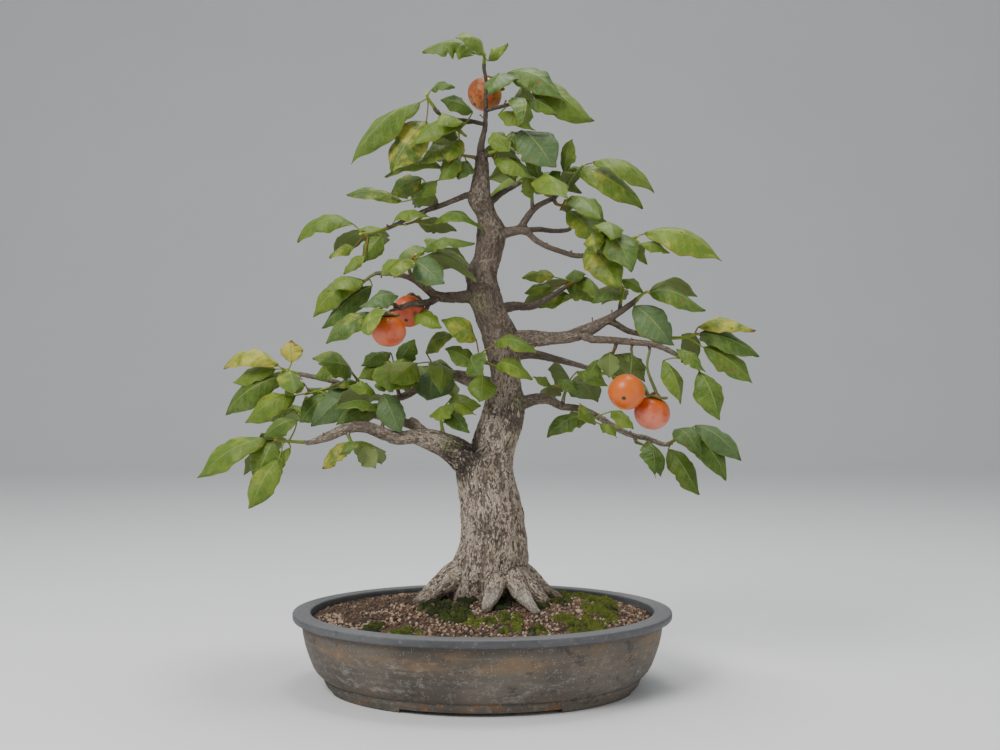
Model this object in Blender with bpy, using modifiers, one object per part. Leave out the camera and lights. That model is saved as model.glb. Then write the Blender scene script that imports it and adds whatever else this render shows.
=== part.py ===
# Persimmon bonsai in its oval pot.
# The crown was drawn from the front, in millimetres from the pot's centre line and its foot. Each drawn
# point then moves out along the sight line to its own depth, so that the front view keeps the drawing.

import math
import random

import bmesh
import bpy
from mathutils import Vector
from mathutils.bvhtree import BVHTree

MM = 0.001
GAP = 0.3
EYE = Vector((21.9, -1520.0, 386.0))
UP = Vector((0, 0, 1))
TO_VIEWER = Vector((0, -1, 0))

# The pot is a turned profile, given by radius and height, made oval by POT_RATIO.
POT_RATIO = 0.78
POT_SIDES = 32
FOOT_HEIGHT = 5.0
FLOOR_TOP = 14.0
RIM_TOP = 94.5
POT_INSIDE = [(176, FLOOR_TOP), (192, 22), (206, 45), (212, 80), (214, RIM_TOP)]
POT_OUTSIDE = [
    (235.6, RIM_TOP), (235.6, 84.5), (224.6, 83.5), (222, 65), (217, 46), (211, 30), (204, 20),
    (197.5, 14.5), (192, FOOT_HEIGHT), (191, 0), (168, 0), (166, FOOT_HEIGHT),
]
FOOT_GAP_FRONT = 186.0
FOOT_GAP_END = 110.0
DRAIN_X = 85.0
DRAIN_RADIUS = 11.0
DRAIN_SIDES = 12
SCREEN_SIDE = 40.0
SCREEN_THICK = 1.0
SCREEN_HOLE = 12.0
SCREEN_PITCH = 16.0
OUTSIDE = 400.0

# The soil follows the pot's inside and rises in a mound, given by radius and height, under the trunk.
SOIL_EDGE = 86.5
SOIL_MOUND = [(0, 111.0), (46, 111.0), (112, 104.0)]
PLUG_RADIUS = 20.0
PLUG_SIDES = 16
PLUG_BOTTOM = 70.0
PLUG_TOP = 118.0

# Trunk rings: height, left edge, right edge and depth of the middle.
TRUNK_SIDES = 12
TRUNK_DEPTH_SHARE = 0.94
FOOT_DEPTH_SHARE = 0.62
FOOT_TOP = 170.0
TRUNK = [
    (90, -44, 56, 4), (112, -44, 55, 4), (130, -43, 55, 3), (145, -40, 55, 2), (161, -34, 55, 1),
    (178, -28, 54, 1), (210, -26, 51, 3), (241, -29, 43, 5), (262, -33, 38, 6), (280, -28, 38, 7),
    (298, -14, 41, 8), (318, -8, 48, 8), (346, 2, 52, 6), (380, 11, 47, 3), (407, 6, 46, 0),
    (424, 2, 46, -3), (439, -2, 43, -5), (454, -7, 35, -6), (469, -13, 27, -6), (484, -19, 23, -4),
    (499, -19, 19, -2), (514, -22, 17, 0), (529, -13, 22, 2), (545, -9, 26, 3), (560, -7, 28, 3),
    (575, -6, 26, 2), (587, -8, 18, 0), (600, -17, 13, -2), (614, -16, 9, -3), (640, -11, 8, -2),
    (660, -8, 6, 0),
]

# Branches: points as x, z, depth and radius. The first point lies inside the wood that it grows from.
BRANCHES = {
    "root_left": [
        (8, 152, -4, 15), (-28, 140, -8, 17), (-52, 123, -14, 14), (-68, 110, -20, 11), (-84, 98, -28, 8),
    ],
    "root_front": [
        (18, 142, -12, 13), (16, 124, -36, 12.5), (12, 111, -54, 10.5), (7, 100, -67, 8), (3, 91, -77, 6),
    ],
    "root_front_right": [
        (34, 142, -12, 13), (43, 122, -34, 12), (52, 108, -49, 9.5), (61, 97, -61, 7), (70, 87, -71, 5),
    ],
    "root_right_front": [(30, 146, -4, 14), (52, 124, -14, 14), (68, 110, -22, 11), (80, 99, -28, 8)],
    "root_right": [(24, 152, 6, 14), (54, 137, 8, 13), (78, 119, 12, 8), (100, 105, 16, 5)],
    "root_back_left": [(-6, 148, 12, 12), (-32, 130, 32, 13), (-46, 112, 48, 10), (-58, 97, 58, 7.5)],
    "root_back_right": [(24, 148, 14, 12), (42, 128, 34, 12), (50, 112, 50, 9), (58, 97, 62, 7)],
    "low_left": [
        (12, 244, 4, 18), (-10, 270, 0, 21), (-29, 288, -4, 18), (-47, 298, -8, 15), (-66, 305, -12, 13),
        (-86, 309, -16, 9), (-107, 307, -20, 8), (-127, 314, -25, 7.5), (-146, 321, -30, 7), (-167, 320, -34, 6.6),
        (-191, 310, -38, 5.8), (-214, 302, -42, 3.6),
    ],
    "low_left_stub": [(-70, 306, -12, 6), (-80, 322, -8, 5.2), (-91, 331, -5, 4.6)],
    "low_left_back": [
        (-60, 303, -6, 8), (-84, 322, 20, 6), (-116, 331, 45, 5.2), (-147, 339, 62, 4.6), (-176, 337, 78, 4),
        (-196, 332, 92, 3.4),
    ],
    "behind_left": [
        (26, 372, 10, 9), (0, 378, 26, 7.5), (-34, 386, 46, 6.4), (-66, 378, 62, 5.4),
        (-103, 358, 76, 4.8), (-141, 360, 88, 4.2), (-183, 377, 96, 3.6), (-222, 386, 100, 3),
    ],
    "mid_left": [
        (6, 486, -4, 9), (-18, 484, -10, 8), (-42, 483, -18, 6.6), (-58, 485, -26, 6), (-72, 496, -32, 5),
        (-84, 505, -38, 4.4),
    ],
    "mid_left_far": [
        (-72, 496, -32, 4), (-90, 507, -30, 3.6), (-108, 512, -24, 3.2), (-126, 513, -16, 2.8),
    ],
    "mid_left_low": [(-54, 485, -24, 5), (-66, 477, -34, 4.4), (-88, 475, -54, 3.8), (-104, 470, -66, 3.2)],
    "high_left": [
        (0, 612, -2, 5), (-18, 611, 0, 4), (-36, 604, 6, 3.6), (-57, 596, 10, 3.4), (-72, 591, 12, 3),
        (-92, 582, 14, 2.8), (-112, 572, 16, 2.6),
    ],
    "low_right": [
        (32, 342, 4, 11), (50, 351, 10, 8.6), (68, 356, 16, 7), (84, 355, 22, 6), (99, 347, 27, 4.8),
        (121, 344, 31, 4.4), (139, 337, 35, 4.1), (157, 326, 38, 3.9), (176, 315, 40, 3.7), (190, 310, 42, 3.5),
        (205, 307, 44, 3.3), (227, 299, 46, 2.9),
    ],
    "mid_right": [
        (30, 426, -6, 13), (58, 431, -10, 11), (87, 432, -15, 8), (108, 434, -19, 7.6), (129, 441, -23, 8),
        (145, 449, -27, 6.6), (159, 457, -31, 4.8), (172, 465, -34, 4), (189, 477, -38, 3.4),
    ],
    "mid_right_front": [
        (122, 438, -23, 6), (136, 431, -34, 5), (151, 430, -44, 4.6), (168, 429, -53, 4.3), (188, 427, -61, 4),
        (208, 425, -67, 3.7), (223, 421, -71, 3.3), (236, 415, -74, 3),
    ],
    "mid_right_end": [
        (155, 455, -30, 4.6), (168, 449, -28, 4), (182, 441, -26, 3.6), (204, 436, -24, 3.3), (228, 433, -22, 3),
    ],
    "high_right": [
        (10, 562, 2, 9), (22, 563, 0, 7.5), (34, 565, -2, 6.2), (47, 567, -3, 5.4), (58, 564, -6, 4.6),
    ],
    "high_right_up": [
        (46, 567, -3, 5), (54, 580, 2, 4.4), (63, 592, 6, 4), (74, 600, 8, 3.6), (88, 607, 8, 3.3),
        (102, 620, 6, 3),
    ],
    "high_right_fork": [
        (56, 565, -5, 4.2), (66, 555, -12, 3.8), (80, 547, -18, 3.5), (99, 540, -22, 3.3), (118, 535, -25, 3.2),
        (138, 537, -28, 3), (156, 545, -31, 2.8),
    ],
    "high_right_side": [(54, 566, -4, 4), (70, 568, 14, 3.4), (88, 566, 34, 3), (106, 567, 52, 2.7)],
    "behind_right": [
        (18, 466, 6, 8), (38, 472, 28, 6), (62, 472, 50, 4.8), (82, 482, 72, 4), (98, 492, 90, 3.2),
    ],
    "leader": [
        (-1, 652, 0, 6), (-2, 671, 0, 4.6), (3, 695, 0, 3.2), (4, 719, 0, 2.7), (4, 734, 0, 2.5),
        (5, 750, 0, 2.3), (2, 768, 0, 2.2),
    ],
    "top_left": [(3, 699, 0, 2.8), (-14, 703, -6, 2.8), (-39, 706, -14, 2.6), (-56, 714, -20, 2.5)],
    "top_right": [(4, 716, 0, 2.5), (14, 719, -6, 2.4), (26, 722, -12, 2.3)],
    "back_low": [(22, 352, 10, 8), (10, 362, 60, 6), (-10, 372, 104, 4.6), (-30, 380, 140, 3.4)],
    "back_mid": [(10, 500, 6, 7), (-6, 510, 48, 5), (-22, 520, 88, 3.8), (-36, 528, 118, 3)],
    "back_right": [(30, 410, 10, 8), (62, 412, 62, 6), (98, 404, 108, 4.6), (128, 396, 140, 3.4)],
    "back_high": [(8, 600, 2, 5), (22, 612, 34, 4), (40, 622, 66, 3)],
}

# Fruits: centre x, z and depth, radius, height share, the way the calyx faces, the branch that the
# stalk hangs from, and the stalk's drawn points from its foot down to the fruit.
FRUITS = [
    (180, 365, -84, 21.6, 0.97, (0.25, 0.9, 0.36), "mid_right_front", 4, [(186, 419, -60), (187, 404, -54)]),
    (212, 339, -66, 21.3, 0.98, (0.22, -0.1, 0.97), "mid_right_front", 5, [(209, 417, -66), (206, 394, -66)]),
    (-117, 441, -84, 20.4, 0.93, (0.0, 0.1, 1.0), "mid_left_low", 3, [(-112, 467, -74), (-115, 466, -79)]),
    (-92, 466, -30, 20.0, 0.95, (0.12, 0.75, 0.65), "mid_left_low", 1, [(-74, 474, -20), (-80, 484, -8)]),
    (3, 737, 34, 22.4, 0.95, (0.62, 0.35, 0.7), "leader", 4, [(9, 750, 6), (20, 762, 20)]),
]
FRUIT_SIDES = 12
FRUIT_TOP = 0.86
FRUIT_PROFILE = [
    (0, FRUIT_TOP), (0.5, 0.8), (0.86, 0.46), (1.0, 0.0), (0.84, -0.52), (0.48, -0.85), (0, -0.96),
]
STALK_RADIUS = 1.7
STALK_SIDES = 5
CALYX_SIDES = 16
CALYX_REACH = 0.62
CALYX_NOTCH = 0.36
CALYX_THICK = 1.2

# Leaf sprays. Each grows from a point of a branch and has a route (x, z, depth) that starts at its foot.
# A leaf is its base x, z, its tip x, z, the angle its upper side turns from the viewer to the sky, its
# bow and its width, the last two as shares of its length. "deep" is how far the tips lean back, and
# "more" is how many leaves the rule adds inside the spray's own part of the drawing.
SPRAYS = {
    "top": ("leader", 6, [(2, 774, 0), (2, 781, -1), (3, 787, -2)], -6, 1, [
        (-8, 787, -75, 789, 42, 0.24, 0.56), (7, 779, 32, 800, 25, 0.15, 0.5)]),
    "top_right": ("leader", 5, [(13, 754, -5), (28, 757, -9), (50, 750, -12)], -14, 1, [
        (32, 764, 104, 728, 36, 0.2, 0.52), (60, 748, 137, 699, 30, 0.14, 0.48)]),
    "right_of_leader": ("top_right", 2, [(33, 724, -16), (40, 728, -19), (46, 731, -21)], -18, 2, [
        (48, 727, 94, 711, 42, 0.2, 0.5), (20, 712, 64, 690, 35, 0.24, 0.5)]),
    "trunk_top_right": ("leader", 0, [(8, 663, -6), (20, 668, -12), (32, 682, -16)], -22, 3, [
        (49, 691, 90, 643, 14, 0.16, 0.66), (15, 655, 62, 629, 35, 0.22, 0.5), (37, 690, 56, 652, 20, 0.2, 0.6),
        (12, 688, 33, 665, 18, 0.1, 0.6)]),
    "top_left": ("top_left", 3, [(-60, 720, -22), (-67, 730, -24), (-70, 736, -24)], -16, 0, [
        (-78, 727, -166, 652, 34, 0.14, 0.34), (-70, 703, -116, 640, 10, 0.12, 0.52),
        (-64, 742, -34, 747, 40, 0.2, 0.5)]),
    "top_left_inner": ("top_left", 1, [(-22, 701, -12), (-28, 694, -16), (-30, 688, -18)], -20, 2, [
        (-20, 684, -93, 670, 40, 0.3, 0.4), (-12, 714, -52, 731, 28, 0.16, 0.5),
        (-30, 680, -44, 652, 20, 0.15, 0.6)]),
    "trunk_top_left": ("leader", 0, [(-10, 658, -6), (-22, 660, -10), (-30, 662, -12)], -14, 1, [
        (-34, 668, -80, 650, 34, 0.22, 0.5), (-20, 653, -30, 630, 14, 0.14, 0.9),
        (-50, 643, -122, 630, 42, 0.26, 0.36), (-28, 655, -55, 628, 20, 0.16, 0.6)]),
    "high_left_inner": ("high_left", 3, [(-58, 604, 4), (-62, 612, 0), (-70, 616, -4)], -10, 2, [
        (-77, 608, -56, 630, 24, 0.1, 0.6), (-102, 602, -171, 611, 46, 0.16, 0.34),
        (-76, 632, -116, 610, 22, 0.14, 0.6), (-66, 622, -88, 598, 14, 0.14, 0.64)]),
    "high_left_low": ("high_left", 4, [(-76, 584, 6), (-84, 578, 0), (-96, 574, -6)], -16, 3, [
        (-112, 573, -62, 582, 58, 0.3, 0.42), (-62, 573, 3, 567, 52, 0.3, 0.36)]),
    "high_left_end": ("high_left", 6, [(-120, 569, 16), (-136, 564, 14), (-152, 562, 12)], -8, 2, [
        (-161, 574, -232, 554, 44, 0.26, 0.4), (-126, 560, -150, 527, 14, 0.12, 0.6),
        (-160, 546, -192, 532, 36, 0.2, 0.5), (-148, 535, -172, 511, 22, 0.14, 0.5)]),
    "mid_left_up": ("mid_left", 5, [(-90, 512, -42), (-92, 524, -46), (-84, 536, -46)], -20, 3, [
        (-98, 532, -127, 510, 24, 0.14, 0.5), (-84, 528, -49, 498, 12, 0.14, 0.6),
        (-74, 541, -10, 549, 52, 0.22, 0.36)]),
    "mid_left_far": ("mid_left_far", 3, [(-133, 513, -12), (-142, 508, -10), (-148, 502, -8)], -14, 2, [
        (-151, 504, -212, 459, 34, 0.2, 0.4), (-138, 497, -201, 444, 26, 0.14, 0.38)]),
    "mid_left_low": ("mid_left_low", 3, [(-111, 475, -70), (-120, 474, -72), (-128, 468, -72)], -12, 1, [
        (-133, 462, -197, 427, 30, 0.16, 0.4), (-106, 484, -153, 469, 46, 0.2, 0.62)]),
    "mid_left_inner": ("mid_left_low", 1, [(-70, 468, -40), (-76, 462, -44), (-80, 456, -44)], -8, 1, [
        (-86, 460, -52, 444, 30, 0.2, 0.5)]),
    "behind_left_end": ("behind_left", 7, [(-230, 388, 100), (-242, 391, 98), (-250, 394, 96)], 4, 2, [
        (-255, 397, -323, 397, 52, 0.28, 0.44), (-258, 393, -313, 375, 40, 0.14, 0.4),
        (-256, 383, -322, 337, 30, 0.16, 0.44), (-238, 402, -240, 430, 12, 0.08, 0.9)]),
    "behind_left_low": ("behind_left", 6, [(-190, 370, 92), (-204, 366, 86), (-222, 362, 80)], -6, 1, [
        (-233, 360, -297, 325, 32, 0.18, 0.46), (-196, 360, -228, 326, 20, 0.14, 0.6),
        (-222, 374, -248, 360, 30, 0.2, 0.6)]),
    "behind_left_up": ("behind_left", 5, [(-146, 370, 82), (-156, 380, 78), (-164, 390, 74)], -12, 1, [
        (-173, 400, -212, 405, 44, 0.26, 0.56), (-150, 372, -214, 321, 18, 0.16, 0.44),
        (-158, 376, -191, 368, 50, 0.2, 0.5), (-172, 392, -212, 382, 36, 0.18, 0.5)]),
    "behind_left_mid": ("behind_left", 4, [(-106, 368, 66), (-110, 380, 56), (-112, 388, 48)], -20, 2, [
        (-104, 398, -84, 430, 18, 0.12, 0.6), (-114, 413, -151, 397, 40, 0.2, 0.56),
        (-118, 398, -156, 380, 34, 0.16, 0.5), (-97, 407, -118, 367, 12, 0.12, 0.66)]),
    "behind_left_inner": ("behind_left", 3, [(-66, 386, 50), (-64, 396, 34), (-60, 402, 20)], -24, 3, [
        (-58, 396, -66, 354, 4, 0.1, 0.84), (-84, 402, -112, 376, 20, 0.16, 0.62),
        (-70, 414, -34, 436, 42, 0.22, 0.5)]),
    "low_left_end": ("low_left", 11, [(-222, 302, -44), (-240, 303, -46), (-258, 305, -47)], -4, 3, [
        (-232, 330, -274, 307, 30, 0.2, 0.5), (-270, 306, -356, 256, 34, 0.18, 0.34),
        (-261, 302, -283, 251, 8, 0.12, 0.66), (-240, 296, -262, 261, 26, 0.2, 0.44),
        (-254, 280, -289, 217, 14, 0.14, 0.46)]),
    "low_left_under": ("low_left", 9, [(-168, 311, -38), (-164, 303, -42), (-158, 297, -46)], -8, 1, [
        (-168, 300, -199, 268, 28, 0.16, 0.5), (-152, 296, -133, 270, 165, 0.12, 0.8),
        (-150, 302, -178, 286, 50, 0.2, 0.5)]),
    "low_left_top": ("low_left", 7, [(-124, 326, -22), (-120, 340, -16), (-122, 352, -12)], -18, 3, [
        (-124, 362, -103, 313, 12, 0.14, 0.56), (-142, 344, -184, 324, 34, 0.16, 0.44),
        (-134, 362, -168, 372, 46, 0.24, 0.5)]),
    "low_left_back": ("low_left_back", 5, [(-203, 332, 98), (-216, 334, 106), (-228, 337, 112)], 22, 3, [
        (-236, 344, -270, 330, 34, 0.2, 0.5), (-204, 340, -188, 356, 30, 0.1, 0.5)]),
    "low_left_shoot": ("low_left", 3, [(-50, 318, -14), (-52, 330, -16), (-52, 340, -16)], -10, 2, [
        (-50, 341, -9, 336, 44, 0.36, 0.56), (-42, 352, -2, 346, 20, 0.16, 0.6)]),
    "trunk_front": ("trunk", (22, 400, -8), [(0, 402, -26), (-4, 406, -32), (-5, 412, -36)], -24, 1, [
        (15, 424, 69, 415, 42, 0.24, 0.4), (16, 397, 63, 381, 32, 0.28, 0.46),
        (1, 386, -2, 352, 4, 0.1, 0.8), (-8, 430, -52, 455, 30, 0.18, 0.54),
        (-10, 398, -46, 420, 24, 0.14, 0.56)]),
    "high_up_end": ("high_right_up", 5, [(107, 627, 5), (114, 636, 2), (126, 648, -2)], -6, 1, [
        (138, 651, 214, 614, 48, 0.22, 0.42), (118, 643, 202, 597, 26, 0.16, 0.36),
        (102, 640, 111, 681, 26, 0.1, 0.5)]),
    "high_up_low": ("high_right_up", 4, [(92, 600, 2), (98, 598, -4), (104, 600, -10)], -16, 1, [
        (112, 610, 154, 575, 24, 0.18, 0.5), (104, 591, 144, 552, 22, 0.16, 0.48),
        (119, 602, 96, 593, 40, 0.16, 0.56)]),
    "high_up_inner": ("high_right_up", 2, [(62, 602, 2), (62, 614, -2), (64, 628, -6)], -10, 2, [
        (60, 606, 55, 636, 20, 0.1, 0.5), (68, 614, 76, 640, 24, 0.1, 0.5),
        (70, 632, 58, 668, 24, 0.12, 0.6), (76, 622, 98, 640, 20, 0.1, 0.6)]),
    "high_side": ("high_right_side", 3, [(111, 571, 58), (120, 574, 64), (130, 576, 68)], 14, 2, [
        (136, 570, 162, 548, 34, 0.2, 0.5)]),
    "fork_end": ("high_right_fork", 6, [(163, 549, -33), (178, 554, -36), (194, 559, -38)], -10, 1, [
        (202, 562, 299, 530, 44, 0.2, 0.46), (166, 562, 196, 534, 28, 0.16, 0.62),
        (198, 550, 234, 538, 40, 0.2, 0.5), (176, 556, 150, 535, 36, 0.2, 0.5),
        (188, 552, 206, 524, 24, 0.16, 0.5)]),
    "fork_mid": ("high_right_fork", 5, [(142, 544, -34), (144, 556, -38), (146, 564, -40)], -16, 2, [
        (153, 565, 189, 515, 26, 0.16, 0.46), (131, 545, 172, 492, 22, 0.14, 0.48)]),
    "behind_right": ("behind_right", 4, [(104, 496, 96), (112, 500, 100), (120, 504, 104)], 10, 3, [
        (89, 509, 50, 507, 34, 0.2, 0.5), (86, 496, 52, 488, 30, 0.2, 0.5),
        (113, 484, 60, 470, 40, 0.16, 0.4), (110, 500, 140, 476, 30, 0.2, 0.5),
        (103, 498, 124, 484, 30, 0.14, 0.6)]),
    "mid_right_top": ("mid_right", 7, [(172, 474, -32), (174, 484, -30), (176, 494, -28)], 2, 2, [
        (174, 482, 136, 476, 48, 0.3, 0.5), (174, 506, 202, 488, 32, 0.16, 0.5)]),
    "mid_right_tip": ("mid_right", 8, [(194, 482, -41), (200, 487, -44), (206, 490, -46)], -16, 1, [
        (208, 488, 277, 464, 40, 0.22, 0.42), (190, 472, 238, 421, 14, 0.16, 0.56)]),
    "mid_right_far": ("mid_right_end", 4, [(235, 432, -22), (252, 433, -24), (267, 437, -26)], -8, 2, [
        (270, 446, 342, 440, 48, 0.22, 0.4), (271, 438, 346, 411, 28, 0.14, 0.38),
        (276, 420, 338, 376, 26, 0.14, 0.38)]),
    "front_right_end": ("mid_right_front", 7, [(243, 411, -76), (254, 405, -78), (264, 398, -80)], -6, 0, [
        (242, 418, 278, 389, 36, 0.2, 0.5), (271, 390, 296, 329, 12, 0.16, 0.54),
        (226, 404, 250, 350, 24, 0.16, 0.44)]),
    "front_right_inner": ("mid_right_front", 3, [(166, 421, -46), (163, 413, -40), (162, 406, -34)], 6, 1, [
        (158, 414, 158, 382, 168, 0.1, 0.8), (176, 412, 202, 390, 40, 0.2, 0.5),
        (146, 404, 130, 376, 26, 0.16, 0.6)]),
    "low_right_inner": ("low_right", 5, [(126, 336, 26), (132, 330, 22), (138, 328, 18)], -20, 1, [
        (131, 333, 79, 310, 38, 0.22, 0.44), (148, 324, 168, 308, 34, 0.2, 0.5),
        (160, 340, 189, 319, 34, 0.18, 0.5)]),
    "low_right_end": ("low_right", 11, [(234, 301, 44), (246, 308, 40), (258, 315, 36)], -20, 2, [
        (261, 316, 306, 256, 20, 0.16, 0.42), (266, 322, 323, 278, 34, 0.18, 0.44),
        (232, 294, 269, 235, 18, 0.14, 0.44), (240, 318, 274, 283, 36, 0.2, 0.44)]),
    "low_right_mid": ("low_right", 9, [(192, 302, 36), (198, 300, 30), (204, 298, 26)], -16, 1, [
        (207, 303, 223, 259, 20, 0.14, 0.5)]),
    "low_right_top": ("low_right", 4, [(101, 356, 24), (104, 366, 20), (110, 376, 16)], -8, 3, [
        (92, 380, 121, 361, 36, 0.2, 0.5), (118, 390, 157, 371, 34, 0.18, 0.46),
        (86, 372, 62, 384, 40, 0.16, 0.5)]),
    "back_low": ("back_low", 3, [(-36, 384, 148), (-50, 388, 158), (-66, 390, 166)], 30, 4, []),
    "back_mid": ("back_mid", 3, [(-42, 532, 124), (-56, 538, 134), (-72, 544, 142)], 26, 4, []),
    "back_right": ("back_right", 3, [(136, 393, 148), (152, 388, 158), (170, 382, 166)], 30, 4, []),
    "back_high": ("back_high", 2, [(48, 626, 74), (58, 632, 86), (66, 638, 96)], 24, 4, []),
}
# The drawn part that a back spray's leaves stay in: left, right, bottom and top.
BACK_AREAS = {
    "back_low": (-150, 0, 350, 420),
    "back_mid": (-150, 10, 500, 600),
    "back_right": (100, 290, 320, 440),
    "back_high": (-10, 150, 580, 690),
}
TWIG_RADIUS = 2.4
TWIG_MIDDLE = 2.0
TWIG_TIP = 1.3
TWIG_SIDES = 3
PETIOLE_RADIUS = 1.1
STALK_STEP = 3.2
LEAF_THICK = 0.8
LEAF_WAVE = 1.6
LONG_LEAF = 84.0
LONG_STATIONS = (0.17, 0.48, 0.8)
SHORT_STATIONS = (0.24, 0.66)
CLEARANCE = 1.6
BROADER = 1.16
TRIES = 70
LOOSE_TRIES = 20
SEED = 537
ADDED_SEED = 1537
SHARP = math.radians(40)

COLOURS = {
    "pot": ((0.25, 0.2, 0.16), 0.6),
    "soil": ((0.3, 0.22, 0.15), 0.95),
    "drain_screen": ((0.02, 0.02, 0.02), 0.6),
    "bark": ((0.32, 0.27, 0.22), 0.9),
    "fruit": ((0.85, 0.2, 0.02), 0.35),
    "calyx": ((0.2, 0.25, 0.08), 0.7),
    "leaf": ((0.15, 0.3, 0.05), 0.5),
}


def seen(x, z, depth):
    """The real place of a drawn point that lies this deep."""
    grown = (depth - EYE.y) / -EYE.y
    return Vector((EYE.x + (x - EYE.x) * grown, depth, EYE.z + (z - EYE.z) * grown))


def drawn(point):
    """Where a real point shows in the drawing, as x and z."""
    grown = (point.y - EYE.y) / -EYE.y
    return EYE.x + (point.x - EYE.x) / grown, EYE.z + (point.z - EYE.z) / grown


def material(name):
    colour, roughness = COLOURS[name]
    made = bpy.data.materials.get(name) or bpy.data.materials.new(name)
    made.use_nodes = True
    shader = made.node_tree.nodes["Principled BSDF"]
    shader.inputs["Base Color"].default_value = (*colour, 1)
    shader.inputs["Roughness"].default_value = roughness
    shader.inputs["Metallic"].default_value = 0
    return made


def solid(name, points, faces, colour, collection):
    """A mesh object from points in millimetres."""
    mesh = bpy.data.meshes.new(name)
    mesh.from_pydata([Vector(p) * MM for p in points], [], faces)
    mesh.materials.append(material(colour))
    made = bpy.data.objects.new(name, mesh)
    collection.objects.link(made)
    return made


def loft(rings):
    """Points and faces of a closed body through rings of equal count, each anticlockwise about the way on."""
    sides = len(rings[0])
    points = [p for ring in rings for p in ring]
    faces = [list(range(sides))[::-1]]
    for r in range(len(rings) - 1):
        for i in range(sides):
            j = (i + 1) % sides
            faces.append([r * sides + i, r * sides + j, (r + 1) * sides + j, (r + 1) * sides + i])
    faces.append([(len(rings) - 1) * sides + i for i in range(sides)])
    return points, faces


def tube(points, radii, sides, start=None):
    """A closed tube along points. start is the way its first end faces, where it meets another piece."""
    last = len(points) - 1
    ways = [(points[min(i + 1, last)] - points[max(i - 1, 0)]).normalized() for i in range(last + 1)]
    ways[0] = (start or points[1] - points[0]).normalized()
    side = ways[0].orthogonal().normalized()
    rings = []
    for point, way, radius in zip(points, ways, radii):
        side = (side - way * side.dot(way)).normalized()
        across = way.cross(side)
        angles = [2 * math.pi * i / sides for i in range(sides)]
        rings.append([point + (side * math.cos(a) + across * math.sin(a)) * radius for a in angles])
    return loft(rings)


def apply_boolean(target, operation, collection, solver="EXACT"):
    """Joins or cuts target with all the collection's objects, which are then removed."""
    modifier = target.modifiers.new(operation.lower(), "BOOLEAN")
    modifier.operation = operation
    modifier.operand_type = "COLLECTION"
    modifier.collection = collection
    modifier.solver = solver
    bpy.context.view_layer.update()
    graph = bpy.context.evaluated_depsgraph_get()
    mesh = bpy.data.meshes.new_from_object(target.evaluated_get(graph))
    target.modifiers.clear()
    target.data = mesh
    for tool in list(collection.objects):
        bpy.data.objects.remove(tool)


def turned(profile, sides):
    """Points and faces of a profile of radius and height, turned about the upright axis."""
    mesh = bpy.data.meshes.new("profile")
    edges = [(i, i + 1) for i in range(len(profile) - 1)]
    mesh.from_pydata([(r * MM, 0, z * MM) for r, z in profile], edges, [])
    made = bpy.data.objects.new("profile", mesh)
    bpy.context.scene.collection.objects.link(made)
    screw = made.modifiers.new("turn", "SCREW")
    screw.steps = screw.render_steps = sides
    screw.use_merge_vertices = True
    screw.merge_threshold = 0.0001
    body = made.evaluated_get(bpy.context.evaluated_depsgraph_get()).to_mesh()
    points = [v.co / MM for v in body.vertices]
    faces = [list(face.vertices) for face in body.polygons]
    bpy.data.objects.remove(made)
    return points, faces


def oval(profile):
    """The same, drawn in to the pot's oval."""
    points, faces = turned(profile, POT_SIDES)
    return [Vector((p.x, p.y * POT_RATIO, p.z)) for p in points], faces


def from_primitive(name, body, collection):
    mesh = bpy.data.meshes.new(name)
    body.to_mesh(mesh)
    body.free()
    made = bpy.data.objects.new(name, mesh)
    collection.objects.link(made)
    return made


def block(name, low, high, collection):
    """A box between two corners."""
    body = bmesh.new()
    bmesh.ops.create_cube(body, size=1)
    for vertex in body.verts:
        vertex.co = Vector([low[k] if vertex.co[k] < 0 else high[k] for k in range(3)]) * MM
    return from_primitive(name, body, collection)


def rod(name, centre, radius, bottom, top, sides, collection):
    """An upright cylinder."""
    body = bmesh.new()
    bmesh.ops.create_cone(
        body, cap_ends=True, segments=sides, radius1=radius * MM, radius2=radius * MM,
        depth=(top - bottom) * MM,
    )
    middle = Vector((centre[0], centre[1], (bottom + top) / 2)) * MM
    bmesh.ops.translate(body, verts=body.verts, vec=middle)
    return from_primitive(name, body, collection)


def pot(parts, tools):
    profile = [(0, FLOOR_TOP)] + POT_INSIDE + POT_OUTSIDE + [(0, FOOT_HEIGHT)]
    made = solid("pot", *oval(profile), "pot", parts)
    half, end = FOOT_GAP_FRONT / 2, FOOT_GAP_END / 2
    block("foot_gap_front", (-half, -OUTSIDE, -OUTSIDE), (half, OUTSIDE, FOOT_HEIGHT), tools)
    apply_boolean(made, "DIFFERENCE", tools)
    block("foot_gap_end", (-OUTSIDE, -end, -OUTSIDE), (OUTSIDE, end, FOOT_HEIGHT), tools)
    apply_boolean(made, "DIFFERENCE", tools)
    for x in (-DRAIN_X, DRAIN_X):
        rod("drain", (x, 0), DRAIN_RADIUS, 0, FLOOR_TOP + FOOT_HEIGHT, DRAIN_SIDES, tools)
    apply_boolean(made, "DIFFERENCE", tools)


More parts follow.
